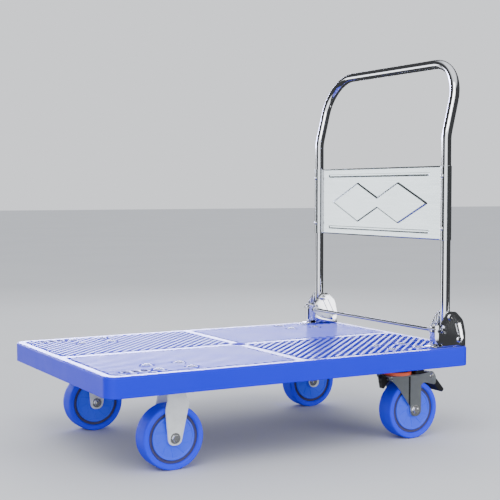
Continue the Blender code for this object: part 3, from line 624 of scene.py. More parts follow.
def deck_shell():
    """Skin and skirt of the deck in one skin, with sunk fields, slots and the disc's seat."""
    bm = bmesh.new()
    arc = [math.pi / 2 * step / 5 for step in range(6)]
    section = [(0.0095, CEILING), (0.0060, CEILING - 0.0008), (0.0044, CEILING - 0.0030)]
    section += [(0.0040, BOTTOM + 0.0014), (0.0034, BOTTOM + 0.0003), (0.0026, BOTTOM)]
    section += [(0.0012, BOTTOM), (0.0003, BOTTOM + 0.0004), (0.0, BOTTOM + 0.0014)]
    section += [(0.004 * (1 - math.cos(turn)), TOP - 0.004 * (1 - math.sin(turn))) for turn in arc]
    rings = [level(bm, slab_ring(away), z) for away, z in section]
    loft(bm, rings)
    top, ceiling = [rings[-1]], [rings[0]]
    for sx in (-1, 1):
        for sy in (-1, 1):
            outline = field_outline(sx, sy)
            steps = [level(bm, inset(outline, away), z)
                     for away, z in ((0, TOP), (0.0003, TOP - 0.0002), (0.0006, FLOOR))]
            loft(bm, steps)
            top.append(steps[0])
            floor = [steps[2]]
            for x, y in slot_places():
                if sx * x > 0 and sy * y > 0:
                    sunk, under = deck_slot(bm, x, y)
                    floor.append(sunk)
                    ceiling.append(under)
            # The sunk floors between the ribs take the darker copy: painted shade in the grooves.
            for face in fill(bm, floor):
                face.material_index = 1
    # Slot walls take the near-black copy: painted shade inside the slots.
    paint_slot_shade(bm, 3)
    top.append(disc_seat(bm))
    # The flat top round the fields takes the paler border copy: painted sheen.
    for face in fill(bm, top):
        face.material_index = 2
    fill(bm, ceiling)
    return sound(bm)


def deck_slot(bm, x, y):
    steps = [level(bm, slot_outline(x, y, grow), z)
             for grow, z in ((0.0014, FLOOR), (0.0010, FLOOR - 0.0006), (0.0, CEILING))]
    loft(bm, steps)
    return steps[0], steps[2]


def disc_seat(bm):
    spots = [(DISC_RADIUS, TOP), (DISC_RADIUS - 0.0005, TOP - 0.0003), (DISC_RADIUS - 0.0006, TOP - 0.0020)]
    steps = [level(bm, circle(0, 0, radius, 48), z) for radius, z in spots]
    loft(bm, steps)
    bm.faces.new(steps[2])
    return steps[0]


def rib_bar(bm, start, end):
    """A low bar with round ends and a softened top, from point to point."""
    along = (end - start).normalized()
    out = Vector((-along.y, along.x))
    section = [(RIB_HALF, FLOOR - 0.0001), (RIB_HALF - 0.0003, RIB_TOP - 0.0005),
               (RIB_HALF - 0.0005, RIB_TOP - 0.0001), (RIB_HALF - 0.0009, RIB_TOP)]
    turns = [math.pi * step / 6 for step in range(7)]
    rings = []
    for half, z in section:
        points = []
        for centre, heading in ((end, along), (start, -along)):
            side = out if centre is end else -out
            for turn in turns:
                spot = centre - side * half * math.cos(turn) + heading * half * math.sin(turn)
                points.append((spot.x, spot.y, z))
        rings.append(ring(bm, points))
    loft(bm, rings)
    bm.faces.new(rings[-1])


def rib_runs(outline, origin, along, obstacles):
    """The stretches of a line that lie in the field and clear of what stands in it."""
    step, runs, start = 0.001, [], None
    out = Vector((-along.y, along.x))
    for count in range(-900, 901):
        spot = origin + along * (count * step)
        edges = [spot + out * RIB_HALF * sign for sign in (-1, 0, 1)]
        free = all(inside(outline, *edge) for edge in edges)
        free = free and all((spot - centre).length > radius for centre, radius in obstacles)
        if free and start is None:
            start = spot
        if not free and start is not None:
            if (spot - start).length > 0.012:
                runs.append((start + along * RIB_HALF, spot - along * (RIB_HALF + step)))
            start = None
    return runs


def deck_ribs(sx, sy):
    """The slanted anti-slip bars of one field."""
    bm = bmesh.new()
    outline = inset(field_outline(sx, sy), 0.0025)
    lean = 1 if sx * sy < 0 else -1
    along = Vector((1, lean)).normalized()
    out = Vector((1, -lean)).normalized()
    phase = {(1, -1): -0.0047, (-1, 1): 0.0037}.get((sx, sy), 0.0037)
    obstacles = [(Vector(at), PAD_RADIUS + RIB_HALF + 0.0005) for at in bolt_places()]
    obstacles += [(Vector((x, y)), 0.0150) for x, y in slot_places()]
    for count in range(-50, 51):
        origin = out * (phase + count * RIB_PITCH)
        for start, end in rib_runs(outline, origin, along, obstacles):
            rib_bar(bm, start, end)
    return bm


def bolt_pads():
    """The round seats of the caster bolts in the sunk fields, level with the ribs."""
    profile = [(PAD_RADIUS, FLOOR - 0.0001), (PAD_RADIUS - 0.0003, RIB_TOP - 0.0003)]
    profile += [(PAD_RADIUS - 0.0006, RIB_TOP), (0.0046, RIB_TOP), (0.0046, FLOOR - 0.0001)]
    return joined(*[lathe(profile, 40, at=(x, y, 0)) for x, y in bolt_places()])


def paint_slot_shade(bm, index):
    """Give the walls of the lashing slots a near-black copy of the deck plastic: painted shade inside the
    slots.
    """
    for face in bm.faces:
        spot = face.calc_center_median()
        for x, y in slot_places():
            if abs(spot.x - x) < SLOT_HALF[0] + 0.0016 and abs(spot.y - y) < SLOT_HALF[1] + 0.0016:
                face.material_index = index


def slot_pads():
    """The flat strips round the lashing slots, level with the ribs."""
    parts = []
    for side in (-1, 1):
        x, y = SLOT_AT[0], side * SLOT_AT[1]
        half_x, half_y, radius = SLOT_PITCH + 0.0110, SLOT_HALF[1] + 0.0040, 0.0080
        outline = rounded([
            (x - half_x, y - half_y, radius), (x + half_x, y - half_y, radius),
            (x + half_x, y + half_y, radius), (x - half_x, y + half_y, radius),
        ])
        holes = [slot_outline(*at, 0.0012) for at in slot_places() if at[1] * side > 0]
        depth = RIB_TOP - FLOOR + 0.0001
        pad = plate(outline, depth, holes, 0.0004)
        placed(pad, 0, 0, RIB_TOP - depth / 2)
        # The pad's slot walls take the painted shade too.
        paint_slot_shade(pad, 1)
        parts.append(pad)
    return joined(*parts)


def evenly(start, end, count):
    return [start + (end - start) * (step + 1) / (count + 1) for step in range(count)]


def deck_underside():
    """Ribs and bosses that stiffen the deck from below."""
    half_x, half_y = BOLT_PITCH[0] / 2, BOLT_PITCH[1] / 2
    end, side = HALF_LENGTH - 0.003, HALF_WIDTH - 0.003
    front, rear = FRONT_X - half_x, SWIVEL_X - half_x
    across = evenly(-end, front, 1) + [front, FRONT_X + half_x]
    across += evenly(FRONT_X + half_x, rear, 5) + [rear, SWIVEL_X + half_x]
    across += evenly(SWIVEL_X + half_x, end, 1)
    inner, outer = WHEEL_Y - half_y, WHEEL_Y + half_y
    along = [-outer, -inner] + evenly(-inner, inner, 4) + [inner, outer]
    high, low, wall = CEILING + 0.0005, PLATE_TOP + GAP, 0.0015
    walls = [box((x - wall, -side, low), (x + wall, side, high), 0.0003) for x in across]
    walls += [box((-end, y - wall, low + 0.0004), (end, y + wall, high), 0.0003) for y in along]
    boss = [(0.0046, high), (0.0090, high), (0.0085, low + 0.0008), (0.0080, low), (0.0046, low)]
    return joined(*walls, *[lathe(boss, 28, at=(x, y, 0)) for x, y in bolt_places()])


def disc_dots():
    """Rows of small domes on the centre disc, inside a raised rim."""
    pitch, floor = 0.0030, TOP - 0.0020
    dome = [(0, floor + 0.0009), (0.0006, floor + 0.0007), (0.0010, floor + 0.0003), (0.0011, floor - 0.0001)]
    parts = []
    for row in range(-6, 7):
        for column in range(-6, 7):
            x, y = (column + 0.5 * (row % 2)) * pitch, row * pitch * math.sqrt(3) / 2
            if math.hypot(x, y) < 0.0150:
                parts.append(lathe(dome, 10, at=(x, y, 0)))
    rim = [(0.0168, floor - 0.0001), (0.0172, floor + 0.0010), (0.0180, floor + 0.0010)]
    rim.append((0.0183, floor - 0.0001))
    disc = [(0, floor + 0.0001), (0.0183, floor + 0.0001), (0.0183, floor - 0.0004), (0, floor - 0.0004)]
    return joined(lathe(rim, 48), lathe(disc, 48), *parts)


def caster_bolts():
    """Mushroom-head bolts through the deck and the caster plates, with their washers and nuts."""
    head = [(0, 0.0026), (0.0030, 0.0025), (0.0060, 0.0020), (0.0083, 0.0010), (0.0092, 0.0004)]
    head += [(0.0092, 0.0), (0.0038, 0.0), (0.0038, PLATE_BOTTOM - 0.0075 - RIB_TOP)]
    head += [(0, PLATE_BOTTOM - 0.0078 - RIB_TOP)]
    washer = [(0.0042, -0.0002), (0.0085, -0.0002), (0.0088, -0.0006), (0.0085, -0.0014), (0.0042, -0.0014)]
    parts = []
    for x, y in bolt_places():
        parts.append(lathe(head, 32, at=(x, y, RIB_TOP)))
        parts.append(lathe(washer, 28, at=(x, y, PLATE_BOTTOM)))
        nut = plate(circle(0, 0, 0.0071, 6), 0.0048, [circle(0, 0, 0.0036, 20)], 0.0004)
        placed(nut, x, y, PLATE_BOTTOM - 0.0039)
        parts.append(nut)
    return joined(*parts)


def build_deck():
    add("deck_shell", deck_shell(), "deck", "frame", ["deck"], ["grain", "border", "hole"], 40)
    for end, sx in (("front", -1), ("rear", 1)):
        for side, sy in SIDES.items():
            name = f"deck_ribs_{end}_{side}"
            # The ribs take the paler copy of the plastic: painted sheen.
            add(name, deck_ribs(sx, sy), "rib", "frame", sharp=30)
    # The pads take the same painted sheen, and their slot walls the painted shade.
    add("deck_pads", joined(bolt_pads(), slot_pads()), "rib", "frame", [], ["hole"])
    # The underside ribs use the same darker copy: painted shade under the deck.
    add("deck_underside_ribs", deck_underside(), "grain", "frame")
    # The sunk disc takes the darker copy: painted shade.
    add("deck_centre_disc", disc_dots(), "disc", "frame")
    # The bolt heads take the lavender copy of the zinc: painted reflection.
    add("caster_bolts", caster_bolts(), "cap", "frame", sharp=40)


# Wheels.

def tyre_profile():
    side, tread, soft = 0.0228, WHEEL_RADIUS, 0.0036
    arc = [math.pi / 2 * step / 6 for step in range(7)]
    half = [(0.0546, side - 0.0034), (0.0552, side - 0.0022), (0.0562, side - 0.0016)]
    half += [(0.0572, side - 0.0004), (0.0580, side)]
    half += [(tread - 0.0007 - soft * (1 - math.sin(turn)), side - soft * (1 - math.cos(turn)))
             for turn in arc]
    half += [(tread, side - soft - 0.0040), (tread, 0.0006), (tread - 0.0003, 0.0)]
    return half + [(radius, -height) for radius, height in reversed(half[:-1])]


def rim_profile():
    half = [(0.0476, 0.0172), (0.0482, 0.0184), (0.0494, 0.0188), (0.0500, 0.0178)]
    half += [(0.0524, 0.0178), (0.0530, 0.0190), (0.0540, 0.0190), (0.0543, 0.0178)]
    return half + [(radius, -height) for radius, height in reversed(half)]


def hub_profile():
    half = [(0.0088, 0.0235), (0.0155, 0.0235), (0.0168, 0.0231), (0.0174, 0.0222), (0.0180, 0.0212)]
    half += [(0.0200, 0.0200), (0.0405, 0.0188), (0.0425, 0.0191), (0.0432, 0.0202), (0.0440, 0.0206)]
    half += [(0.0464, 0.0206), (0.0472, 0.0200), (0.0473, 0.0186)]
    return half + [(radius, -height) for radius, height in reversed(half)]


def hub_ribs():
    """Low curved ribs on both faces of the hub, from the boss to the outer ring."""
    parts = []
    for face in (-1, 1):
        for count in range(10):
            turn = math.tau * count / 10
            path = []
            for step in range(9):
                radius = 0.0172 + 0.0258 * step / 8
                bend = turn + 0.30 * math.sin(math.pi / 2 * step / 8)
                height = face * (0.0198 - 0.0012 * step / 8)
                path.append((radius * math.cos(bend), radius * math.sin(bend), height))
            parts.append(sweep(path, 0.0011, 8))
    return parts


def build_wheel(place):
    body, at = f"{place}_wheel", WHEELS[place]
    for kind, profile, extra in (
            ("tyre", tyre_profile(), []), ("rim", rim_profile(), []), ("hub", hub_profile(), hub_ribs())):
        name = f"{place}_{kind}"
        whole = joined(lathe(profile, 96), *extra)
        moved(whole, Matrix.Translation(at) @ ACROSS)
        skin(name, whole, kind, body, 38)


def build_axle(place, side):
    """Axle bolt with a flanged hexagonal head outside, a locking nut inside, and the bush."""
    body = "frame" if place.startswith("front") else f"{place}_fork"
    turn = outward(WHEELS[place], side)
    face = LEG_OUTER + GAP
    washer = [(0.0052, face), (0.0108, face), (0.0114, face + 0.0004), (0.0114, face + 0.0010),
              (0.0108, face + 0.0014), (0.0052, face + 0.0014)]
    seat = face + 0.0014
    head = plate(circle(0, 0, 0.0080, 6), 0.0048, [], 0.0017)
    placed(head, 0, 0, seat + 0.0024)
    dome = [(0, seat + 0.0053), (0.0044, seat + 0.0051), (0.0058, seat + 0.0046), (0, seat + 0.0046)]
    shank = [(0, seat), (0.0050, seat), (0.0050, -face - 0.0078)]
    shank += [(0.0044, -face - 0.0084), (0, -face - 0.0084)]
    bolt = joined(lathe(washer, 40), head, lathe(dome, 32), lathe(shank, 28))
    washer_in = [(radius, -height) for radius, height in washer]
    nut = plate(circle(0, 0, 0.0085, 6), 0.0048, [circle(0, 0, 0.0053, 24)], 0.0006)
    placed(nut, 0, 0, -seat - 0.0024)
    near, far = -seat - 0.0046, -seat - 0.0058
    collar = [(0.0053, near), (0.0070, near), (0.0066, far), (0.0053, far)]
    nut = joined(lathe(washer_in, 40), nut, lathe(collar, 28))
    reach = LEG_INNER - GAP
    bush = lathe([(0.0085, reach), (0.0085, -reach), (0.0053, -reach), (0.0053, reach)], 32)
    for kind, bm in (("bolt", bolt), ("nut", nut), ("bush", bush)):
        name = f"{place}_axle_{kind}"
        moved(bm, turn)
        skin(name, bm, "bolt", body, 35)


# Casters.

def caster_plate(x, y, bore=0.0):
    holes = [circle(dx * BOLT_PITCH[0] / 2, dy * BOLT_PITCH[1] / 2, 0.0044, 20)
             for dx in (-1, 1) for dy in (-1, 1)]
    if bore:
        holes.append(circle(0, 0, bore, 32))
    corners = [(-0.050, -0.043, 0.008), (0.050, -0.043, 0.008), (0.050, 0.043, 0.008), (-0.050, 0.043, 0.008)]
    bm = plate(rounded(corners), 0.004, holes)
    placed(bm, x, y, PLATE_TOP - 0.002)
    return bm


def fixed_leg(y, face):
    """Leg of a fixed fork: wide under the plate, narrow at the axle, its edge turned inwards."""
    top = PLATE_BOTTOM + 0.0008
    corners = [
        (-0.0140, 0.0525, 0.0132), (0.0140, 0.0525, 0.0132), (0.0335, 0.1390, 0.009), (0.0245, 0.1580, 0.008),
        (0.0245, top, 0), (-0.0150, top, 0), (-0.0155, 0.1480, 0.012), (-0.0210, 0.1260, 0.014),
    ]
    outline = rounded([(FRONT_X + x, z, radius) for x, z, radius in corners])
    leg = plate(outline, SHEET, [circle(FRONT_X, WHEEL_RADIUS, 0.0056)], flange=0.0022)
    if face > 0:
        bmesh.ops.scale(leg, vec=(1, 1, -1), verts=leg.verts)
    return sound(upright(leg, y + face * (LEG_INNER + SHEET / 2)))


def build_front_caster(side_name, side):
    place = f"front_{side_name}"
    y = side * WHEEL_Y
    fork = joined(caster_plate(FRONT_X, y), fixed_leg(y, -1), fixed_leg(y, 1))
    skin(place + "_fork", fork, "zinc", "frame", 35)
    build_wheel(place)
    build_axle(place, side)


def swivel_leg(y, side_face, braked):
    """Leg of a swivel fork: a flat strap to the axle, and a web that curves inwards to the front."""
    x, wheel_x = SWIVEL_X, SWIVEL_X + TRAIL
    rear = [(x + 0.0510, FORK_TOP, 0.003)]
    if braked:
        rear = [(x + 0.0510, 0.1240, 0.006), (x + 0.0600, 0.1300, 0.006), (x + 0.0933, 0.1212, 0.005),
                (x + 0.0938, 0.1415, 0.008), (x + 0.0854, 0.1545, 0.005), (x + 0.0498, FORK_TOP, 0.002)]
    tip = WHEEL_RADIUS - 0.0155
    strap_edge = wheel_x - 0.0130
    outline = rounded([
        (strap_edge, tip, 0.0138), (wheel_x + 0.0180, tip, 0.0138), *rear, (x - 0.0390, FORK_TOP, 0.002),
        (x - 0.0375, 0.1440, 0.003), (x - 0.0230, 0.1334, 0.010), (x - 0.0070, 0.1144, 0.030),
        (strap_edge, 0.0760, 0.020),
    ])
    holes = [circle(wheel_x, WHEEL_RADIUS, 0.0056)]
    if braked:
        holes += [circle(*pin, 0.0034, 24) for pin in (BRAKE_PIN, TAB_PIN)]
    leg = plate(outline, SHEET, holes, 0.0005)
    cut = Vector((1, 0, 0))
    for lean in (0.0, 0.0006, SHADE_STRIP) + tuple(SHADE_STRIP + 0.0045 * step for step in range(1, 12)):
        geometry = leg.verts[:] + leg.edges[:] + leg.faces[:]
        where = (strap_edge - lean, 0, 0)
        bmesh.ops.bisect_plane(leg, geom=geometry, plane_co=where, plane_no=cut, dist=1e-6)
    # Faces of the web strip beside the strap edge take the near-black zinc: painted shade in the step between
    # strap and web.
    for face in leg.faces:
        spot = face.calc_center_median()
        if face.normal.z > 0.5 and strap_edge - SHADE_STRIP < spot.x < strap_edge:
            face.material_index = 1
    for vert in leg.verts:
        lean = max(0.0, strap_edge - vert.co.x)
        vert.co.z -= 0.0009 * min(1.0, lean / 0.0006) + 0.6 * lean ** 2
    if side_face > 0:
        bmesh.ops.scale(leg, vec=(1, 1, -1), verts=leg.verts)
    return sound(upright(leg, y + side_face * (LEG_INNER + SHEET / 2)))


def fork_top(y):
    """The fork's crown, with its rounded shoulders and the lower race of the swivel."""
    half = LEG_OUTER
    corners = [(-0.0365, -half, 0.010), (0.049, -half, 0.004), (0.049, half, 0.004), (-0.0365, half, 0.010)]
    crown = plate(rounded(corners), 0.0035, [circle(0, 0, 0.0066, 32)], 0.0010)
    placed(crown, SWIVEL_X, y, FORK_TOP - 0.00175 + 0.0001)
    race = [(0.0066, 0.1575), (0.0270, 0.1575), (0.0280, 0.1567)]
    race += [(0.0282, FORK_TOP - 0.001), (0.0066, FORK_TOP - 0.001)]
    return joined(crown, lathe(race, 64, at=(SWIVEL_X, y, 0)))


def build_swivel_head(place, y):
    """Top plate with the upper race, the ring of balls, and the kingpin."""
    at = (SWIVEL_X, y, 0)
    root = PLATE_BOTTOM + 0.001
    race = [(0.0065, root), (0.0330, root), (0.0318, PLATE_BOTTOM - 0.0022)]
    race += [(0.0300, 0.1622), (0.0270, 0.1605), (0.0065, 0.1605)]
    top = joined(caster_plate(SWIVEL_X, y, 0.0066), lathe(race, 64, at=at))
    skin(place + "_plate", top, "dark_zinc", "frame", 35)
    balls = []
    for count in range(20):
        turn = math.tau * count / 20
        ball = bmesh.new()
        bmesh.ops.create_icosphere(ball, subdivisions=2, radius=0.0024)
        spot = (SWIVEL_X + 0.0215 * math.cos(turn), y + 0.0215 * math.sin(turn), 0.1590)
        balls.append(placed(ball, *spot))
    cage = [(0.0178, 0.1594), (0.0255, 0.1594), (0.0258, 0.1590), (0.0255, 0.1586), (0.0178, 0.1586)]
    balls = joined(lathe(cage, 48, at=at), *balls)
    add(place + "_balls", balls, "spring", "frame", [place + "_ball_ring"], sharp=60)
    high, low = PLATE_TOP + GAP, FORK_TOP - 0.0038
    pin = [(0, high + 0.0038), (0.0070, high + 0.0034), (0.0092, high + 0.0012)]
    pin += [(0.0098, high), (0.0060, high)]
    pin += [(0.0060, low), (0.0098, low), (0.0092, low - 0.0018), (0.0060, low - 0.0046), (0, low - 0.0050)]
    skin(place + "_kingpin", lathe(pin, 48, at=at), "bolt", "frame")


def build_rear_caster(side_name, side):
    place = f"rear_{side_name}"
    y = side * WHEEL_Y
    braked = side_name == "left"
    build_swivel_head(place, y)
    fork = joined(fork_top(y), swivel_leg(y, -1, braked), swivel_leg(y, 1, braked))
    look = "dark_zinc" if braked else "zinc"
    # The braked fork's second material is the near-black zinc: painted shade beside the strap.
    skin(place + "_fork", fork, look, place + "_fork", 35, ["seam"] if braked else [look])
    build_wheel(place)
    build_axle(place, side)
    if braked:
        build_brake(y)


# Brake of the rear left caster.

def swivel_outline(corners):
    """An outline with rounded corners, given from the swivel's axis."""
    return rounded([(SWIVEL_X + x, z, radius) for x, z, radius in corners])


def both_ways(half):
    """A profile along the axis and its mirror image, joined at the middle."""
    return [(radius, -height) for radius, height in reversed(half)] + half


def build_pedal(y):
    """The pedal with its treads, and a thin chrome strip at its end that stands in for the highlight on its
    black plastic: a painted highlight.
    """
    outline = swivel_outline([
        (0.0620, 0.1535, 0.002), (0.0600, 0.1370, 0.004), (0.0850, 0.1305, 0.006), (0.1050, 0.1055, 0.003),
        (0.1165, 0.1030, 0.004), (0.1215, 0.1080, 0.0045), (0.0960, 0.1380, 0.008), (0.0850, 0.1530, 0.005),
    ])
    width = 2 * (LEG_INNER - 0.0006)
    parts = [upright(plate(outline, width, [circle(*BRAKE_PIN, 0.0034, 24)], 0.0012), y)]
    run, drop = 0.0255, 0.0300
    slope = Matrix.Rotation(math.atan2(drop, run), 4, "Y")
    for step in range(5):
        along = 0.16 + 0.17 * step
        spot = (SWIVEL_X + 0.0960 + run * along, y, 0.1380 - drop * along)
        tread = box((-0.0011, -0.0195, -0.0007), (0.0011, 0.0195, 0.0009), 0.0004)
        parts.append(moved(tread, Matrix.Translation(spot) @ slope))
    add("brake_pedal_skin", joined(*parts), "black", "brake_pedal", ["rear_left_brake_pedal"], sharp=40)
    # Thin chrome strip at the pedal's end: a painted highlight where the glossy black plastic shines.
    highlight_strip = swivel_outline([
        (0.1172, 0.1012, 0.001), (0.1232, 0.1072, 0.001), (0.1222, 0.1084, 0.0005), (0.1162, 0.1024, 0.0005),
    ])
    add("brake_pedal_highlight_strip", upright(plate(highlight_strip, 0.040, [], 0.0003), y), "chrome", "brake_pedal")


def build_shoe(y):
    outline = swivel_outline([
        (0.0650, 0.1352, 0), (0.0640, 0.1325, 0.001), (0.0740, 0.1262, 0.001), (0.0800, 0.1225, 0.001),
        (0.0820, 0.1290, 0.001), (0.0800, 0.1312, 0),
    ])
    shoe = upright(plate(outline, 0.030, [], 0.0006), y)
    add("brake_shoe_skin", shoe, "black", "brake_pedal", ["rear_left_brake_shoe"])


def build_brake_pin(y):
    end = LEG_OUTER + GAP
    half = [(0.0030, end), (0.0052, end), (0.0050, end + 0.0010), (0.0038, end + 0.0020), (0.0, end + 0.0024)]
    rivet = moved(lathe(both_ways(half), 28), Matrix.Translation((BRAKE_PIN[0], y, BRAKE_PIN[1])) @ ACROSS)
    add("brake_pin_skin", rivet, "bolt", "rear_left_fork", ["rear_left_brake_pin"])


def build_release_tab(y):
    """The tab in front of the wheel with its ribs, and the ends of the stub that it turns on."""
    x, z = TAB_PIN
    corners = [
        (0.0034, -0.0036, 0.003), (0.0034, 0.0030, 0.002), (-0.0085, 0.0030, 0), (-0.0095, 0.0105, 0.001),
        (-0.0150, 0.0105, 0.002), (-0.0185, 0.0020, 0.003), (-0.0140, -0.0210, 0.001),
        (-0.0105, -0.0210, 0.001),
    ]
    outline = rounded([(x + dx, z + dz, radius) for dx, dz, radius in corners])
    parts = [upright(plate(outline, 0.014, [], 0.0007), y)]
    for step in (-1.5, -0.5, 0.5, 1.5):
        centre = y + step * 0.0034
        low, high = (x - 0.0180, centre - 0.0006, z - 0.0080), (x - 0.0140, centre + 0.0006, z + 0.0010)
        parts.append(box(low, high, 0.0003))
    add("release_tab_skin", joined(*parts), "black", "brake_tab", ["rear_left_release_tab"], sharp=40)
    half = [(0.0030, LEG_OUTER - 0.0004), (0.0026, LEG_OUTER), (0.0, LEG_OUTER)]
    profile = half[::-1] + [(radius, -height) for radius, height in half]
    stub = moved(lathe(profile, 24), Matrix.Translation((x, y, z)) @ ACROSS)
    add("release_tab_stub", stub, "dark_zinc", "brake_tab", sharp=40)


def build_brake_cover(y):
    """The black cover over the brake's front end, with a bead on it."""
    outline = swivel_outline([
        (0.0365, 0.1506, 0.0004), (0.0600, 0.1506, 0.0004), (0.0600, 0.1580, 0.003), (0.0540, 0.1600, 0.003),
        (0.0365, 0.1600, 0.001),
    ])
    cover = upright(plate(outline, 0.052, [], 0.0008), y)
    bead = upright(plate(hull((SWIVEL_X + 0.047, 0.1553, 0.0026)), 0.0532, [], 0.0004), y)
    add("brake_cover", joined(cover, bead), "black", "rear_left_fork", sharp=40)


def build_dust_ring(y):
    low, high = FORK_TOP + GAP, 0.1580
    profile = [(0.0285, low), (0.0337, low), (0.0341, low + 0.0005), (0.0341, high - 0.0014)]
    profile += [(0.0336, high - 0.0003), (0.0330, high), (0.0288, high), (0.0285, high - 0.0004)]
    band = lathe(profile, 72, at=(SWIVEL_X, y, 0))
    add("dust_ring_skin", band, "orange", "rear_left_fork", ["rear_left_dust_ring"])


def build_brake(y):
    build_pedal(y)
    build_shoe(y)
    build_brake_pin(y)
    build_release_tab(y)
    build_brake_cover(y)
    build_dust_ring(y)


# Handle.

def handle_path():
    """The tube's centre line: up one side, a kink towards the pusher, over the top and down."""
    lean = math.atan2(BAR_X - TUBE_X, BAR_Z - KINK_Z)
    start = KINK_Z - KINK_RADIUS * math.tan(lean / 2)
    points = [(TUBE_X, -TUBE_Y, TAIL_Z), (TUBE_X, -TUBE_Y, PANEL_LOW.z), (TUBE_X, -TUBE_Y, start - 0.002)]
    for step in range(9):
        angle = lean * step / 8
        x = TUBE_X + KINK_RADIUS * (1 - math.cos(angle))
        points.append((x, -TUBE_Y, start + KINK_RADIUS * math.sin(angle)))
    slope = (BAR_Z - KINK_Z) / math.cos(lean)
    for step in range(21):
        angle = math.pi / 2 * step / 20
        rise = slope - TURN_RADIUS * (1 - math.sin(angle))
        y = -TUBE_Y + TURN_RADIUS * (1 - math.cos(angle))
        points.append((TUBE_X + rise * math.sin(lean), y, KINK_Z + rise * math.cos(lean)))
    return points + [(x, -y, z) for x, y, z in reversed(points)]


def build_tube():
    tube = sweep(handle_path(), TUBE_RADIUS, 40, 0.0015)
    for side in SIDES.values():
        y = side * TUBE_Y
        low = (LOCK_RAISED[0] - 0.005, y - 0.02, TAIL_Z - 0.01)
        tube = carved(tube, box(low, (LOCK_RAISED[0] + 0.005, y + 0.02, 0.2448), 0))
    skin("handle_tube", tube, "chrome", "handle", 40)


def step_down(distance, half):
    """1 inside an edge, 0 outside it, with a smooth slope between."""
    t = min(1.0, max(0.0, 0.5 - distance / (2 * half)))
    return t * t * (3 - 2 * t)


def relief(y, z):
    """Height of the panel's pressed pattern: two joined rhombuses between two grooves."""
    a, b, spread = 0.113, 0.0488, 0.086
    scale = a * b / math.hypot(a, b)
    rise = abs(z - 0.544) / b - 1
    rhombus = min((abs(y - centre) / a + rise) * scale for centre in (-spread, spread))
    raised = 0.0016 * step_down(rhombus, 0.0015)
    for height in (0.6135, 0.4773):
        beyond = max(y - 0.2176, -0.2036 - y, 0.0)
        bead = math.hypot(beyond, z - height) - 0.0032
        raised -= 0.0010 * step_down(bead, 0.0016)
    return raised


def panel_sheet():
    """The pressed sheet as a fine skin, its long edges rolled back."""
    bm = bmesh.new()
    low, high = PANEL_LOW.z, PANEL_HIGH.z
    half = TUBE_Y - 0.0120
    columns = [-half + 2 * half * step / 300 for step in range(301)]
    roll, flange = 0.0030, 0.0050
    section = [(roll + flange, 0.0), (roll, 0.0)]
    section += [(roll * (1 - math.sin(turn)), roll * (1 - math.cos(turn)))
                for turn in (math.pi / 8, math.pi / 4, 3 * math.pi / 8)]
    rows = [(away, low + depth) for away, depth in section]
    flat = [low + roll + (high - low - 2 * roll) * step / 104 for step in range(105)]
    rows += [(0.0, z) for z in flat]
    rows += [(away, high - depth) for away, depth in reversed(section)]
    grid = []
    for away, z in rows:
        line = []
        for y in columns:
            raised = relief(y, z) if away == 0.0 else 0.0
            line.append(bm.verts.new((TUBE_X + away - raised, y, z)))
        grid.append(line)
    for below, above in zip(grid, grid[1:]):
        for index in range(len(columns) - 1):
            bm.faces.new((below[index], below[index + 1], above[index + 1], above[index]))
    return bm


def build_panel():
    sheet = add("panel_sheet", panel_sheet(), "reverse", "handle", ["panel"], ["panel"], 60)
    skin = sheet.modifiers.new("thickness", "SOLIDIFY")
    skin.material_offset = 1
    skin.thickness = 0.0012
    skin.offset = 0
    low, high = PANEL_LOW.z, PANEL_HIGH.z
    bore, outside = TUBE_RADIUS + 0.0002, PANEL_HIGH.y - TUBE_Y
    profile = [(bore, low), (outside - 0.0004, low), (outside, low + 0.0004), (outside, high - 0.0004),
               (outside - 0.0004, high), (bore, high)]
    for name, side in SIDES.items():
        sleeve = lathe(profile, 64, at=(TUBE_X, side * TUBE_Y, 0))
        inner = side * (TUBE_Y - outside + 0.0004)
        seam = box((TUBE_X - 0.0010, min(inner, inner - side * 0.010), low + 0.001),
                   (TUBE_X + 0.0022, max(inner, inner - side * 0.010), high - 0.001), 0.0005)
        add(f"panel_sleeve_{name}", joined(sleeve, seam), "sleeve", "handle")


def build_screws():
    """Pan-head screws with a cross recess, through the sleeves into the tube."""
    face = PANEL_HIGH.y - TUBE_Y + GAP
    profile = [(0, face + 0.0026), (0.0022, face + 0.0024), (0.0036, face + 0.0016), (0.0043, face + 0.0004)]
    profile += [(0.0043, face - 0.0004), (0.0020, face - 0.0006), (0.0018, face - 0.006), (0, face - 0.007)]
    for name, side in SIDES.items():
        for level, z in zip(("lower", "upper"), SCREW_HEIGHTS):
            arms = joined(box((-0.0022, -0.0004, face + 0.0012), (0.0022, 0.0004, face + 0.004), 0),
                          box((-0.0004, -0.0021, face + 0.0012), (0.0004, 0.0021, face + 0.004), 0))
            screw = carved(lathe(profile, 32), arms)
            turn = Matrix.Translation((TUBE_X, side * TUBE_Y, z)) @ Matrix.Rotation(-math.pi / 2, 4, "Y")
            moved(screw, turn)
            add(f"screw_{name}_{level}", screw, "bolt", "handle", [f"panel_screw_{name}_{level}"])


# Brackets and foot release.

def cheek_outline():
    end, bottom = HALF_LENGTH, BRACKET_BOTTOM
    return rounded([
        (end - 0.0745, bottom, 0), (end - 0.0062, bottom, 0), (end - 0.0066, TOP + 0.031, 0.014),
        (end - 0.0140, TOP + 0.062, 0.026), (end - 0.0350, TOP + 0.082, 0.016),
        (end - 0.0600, TOP + 0.084, 0.014), (end - 0.0790, TOP + 0.057, 0.014),
    ], 8)


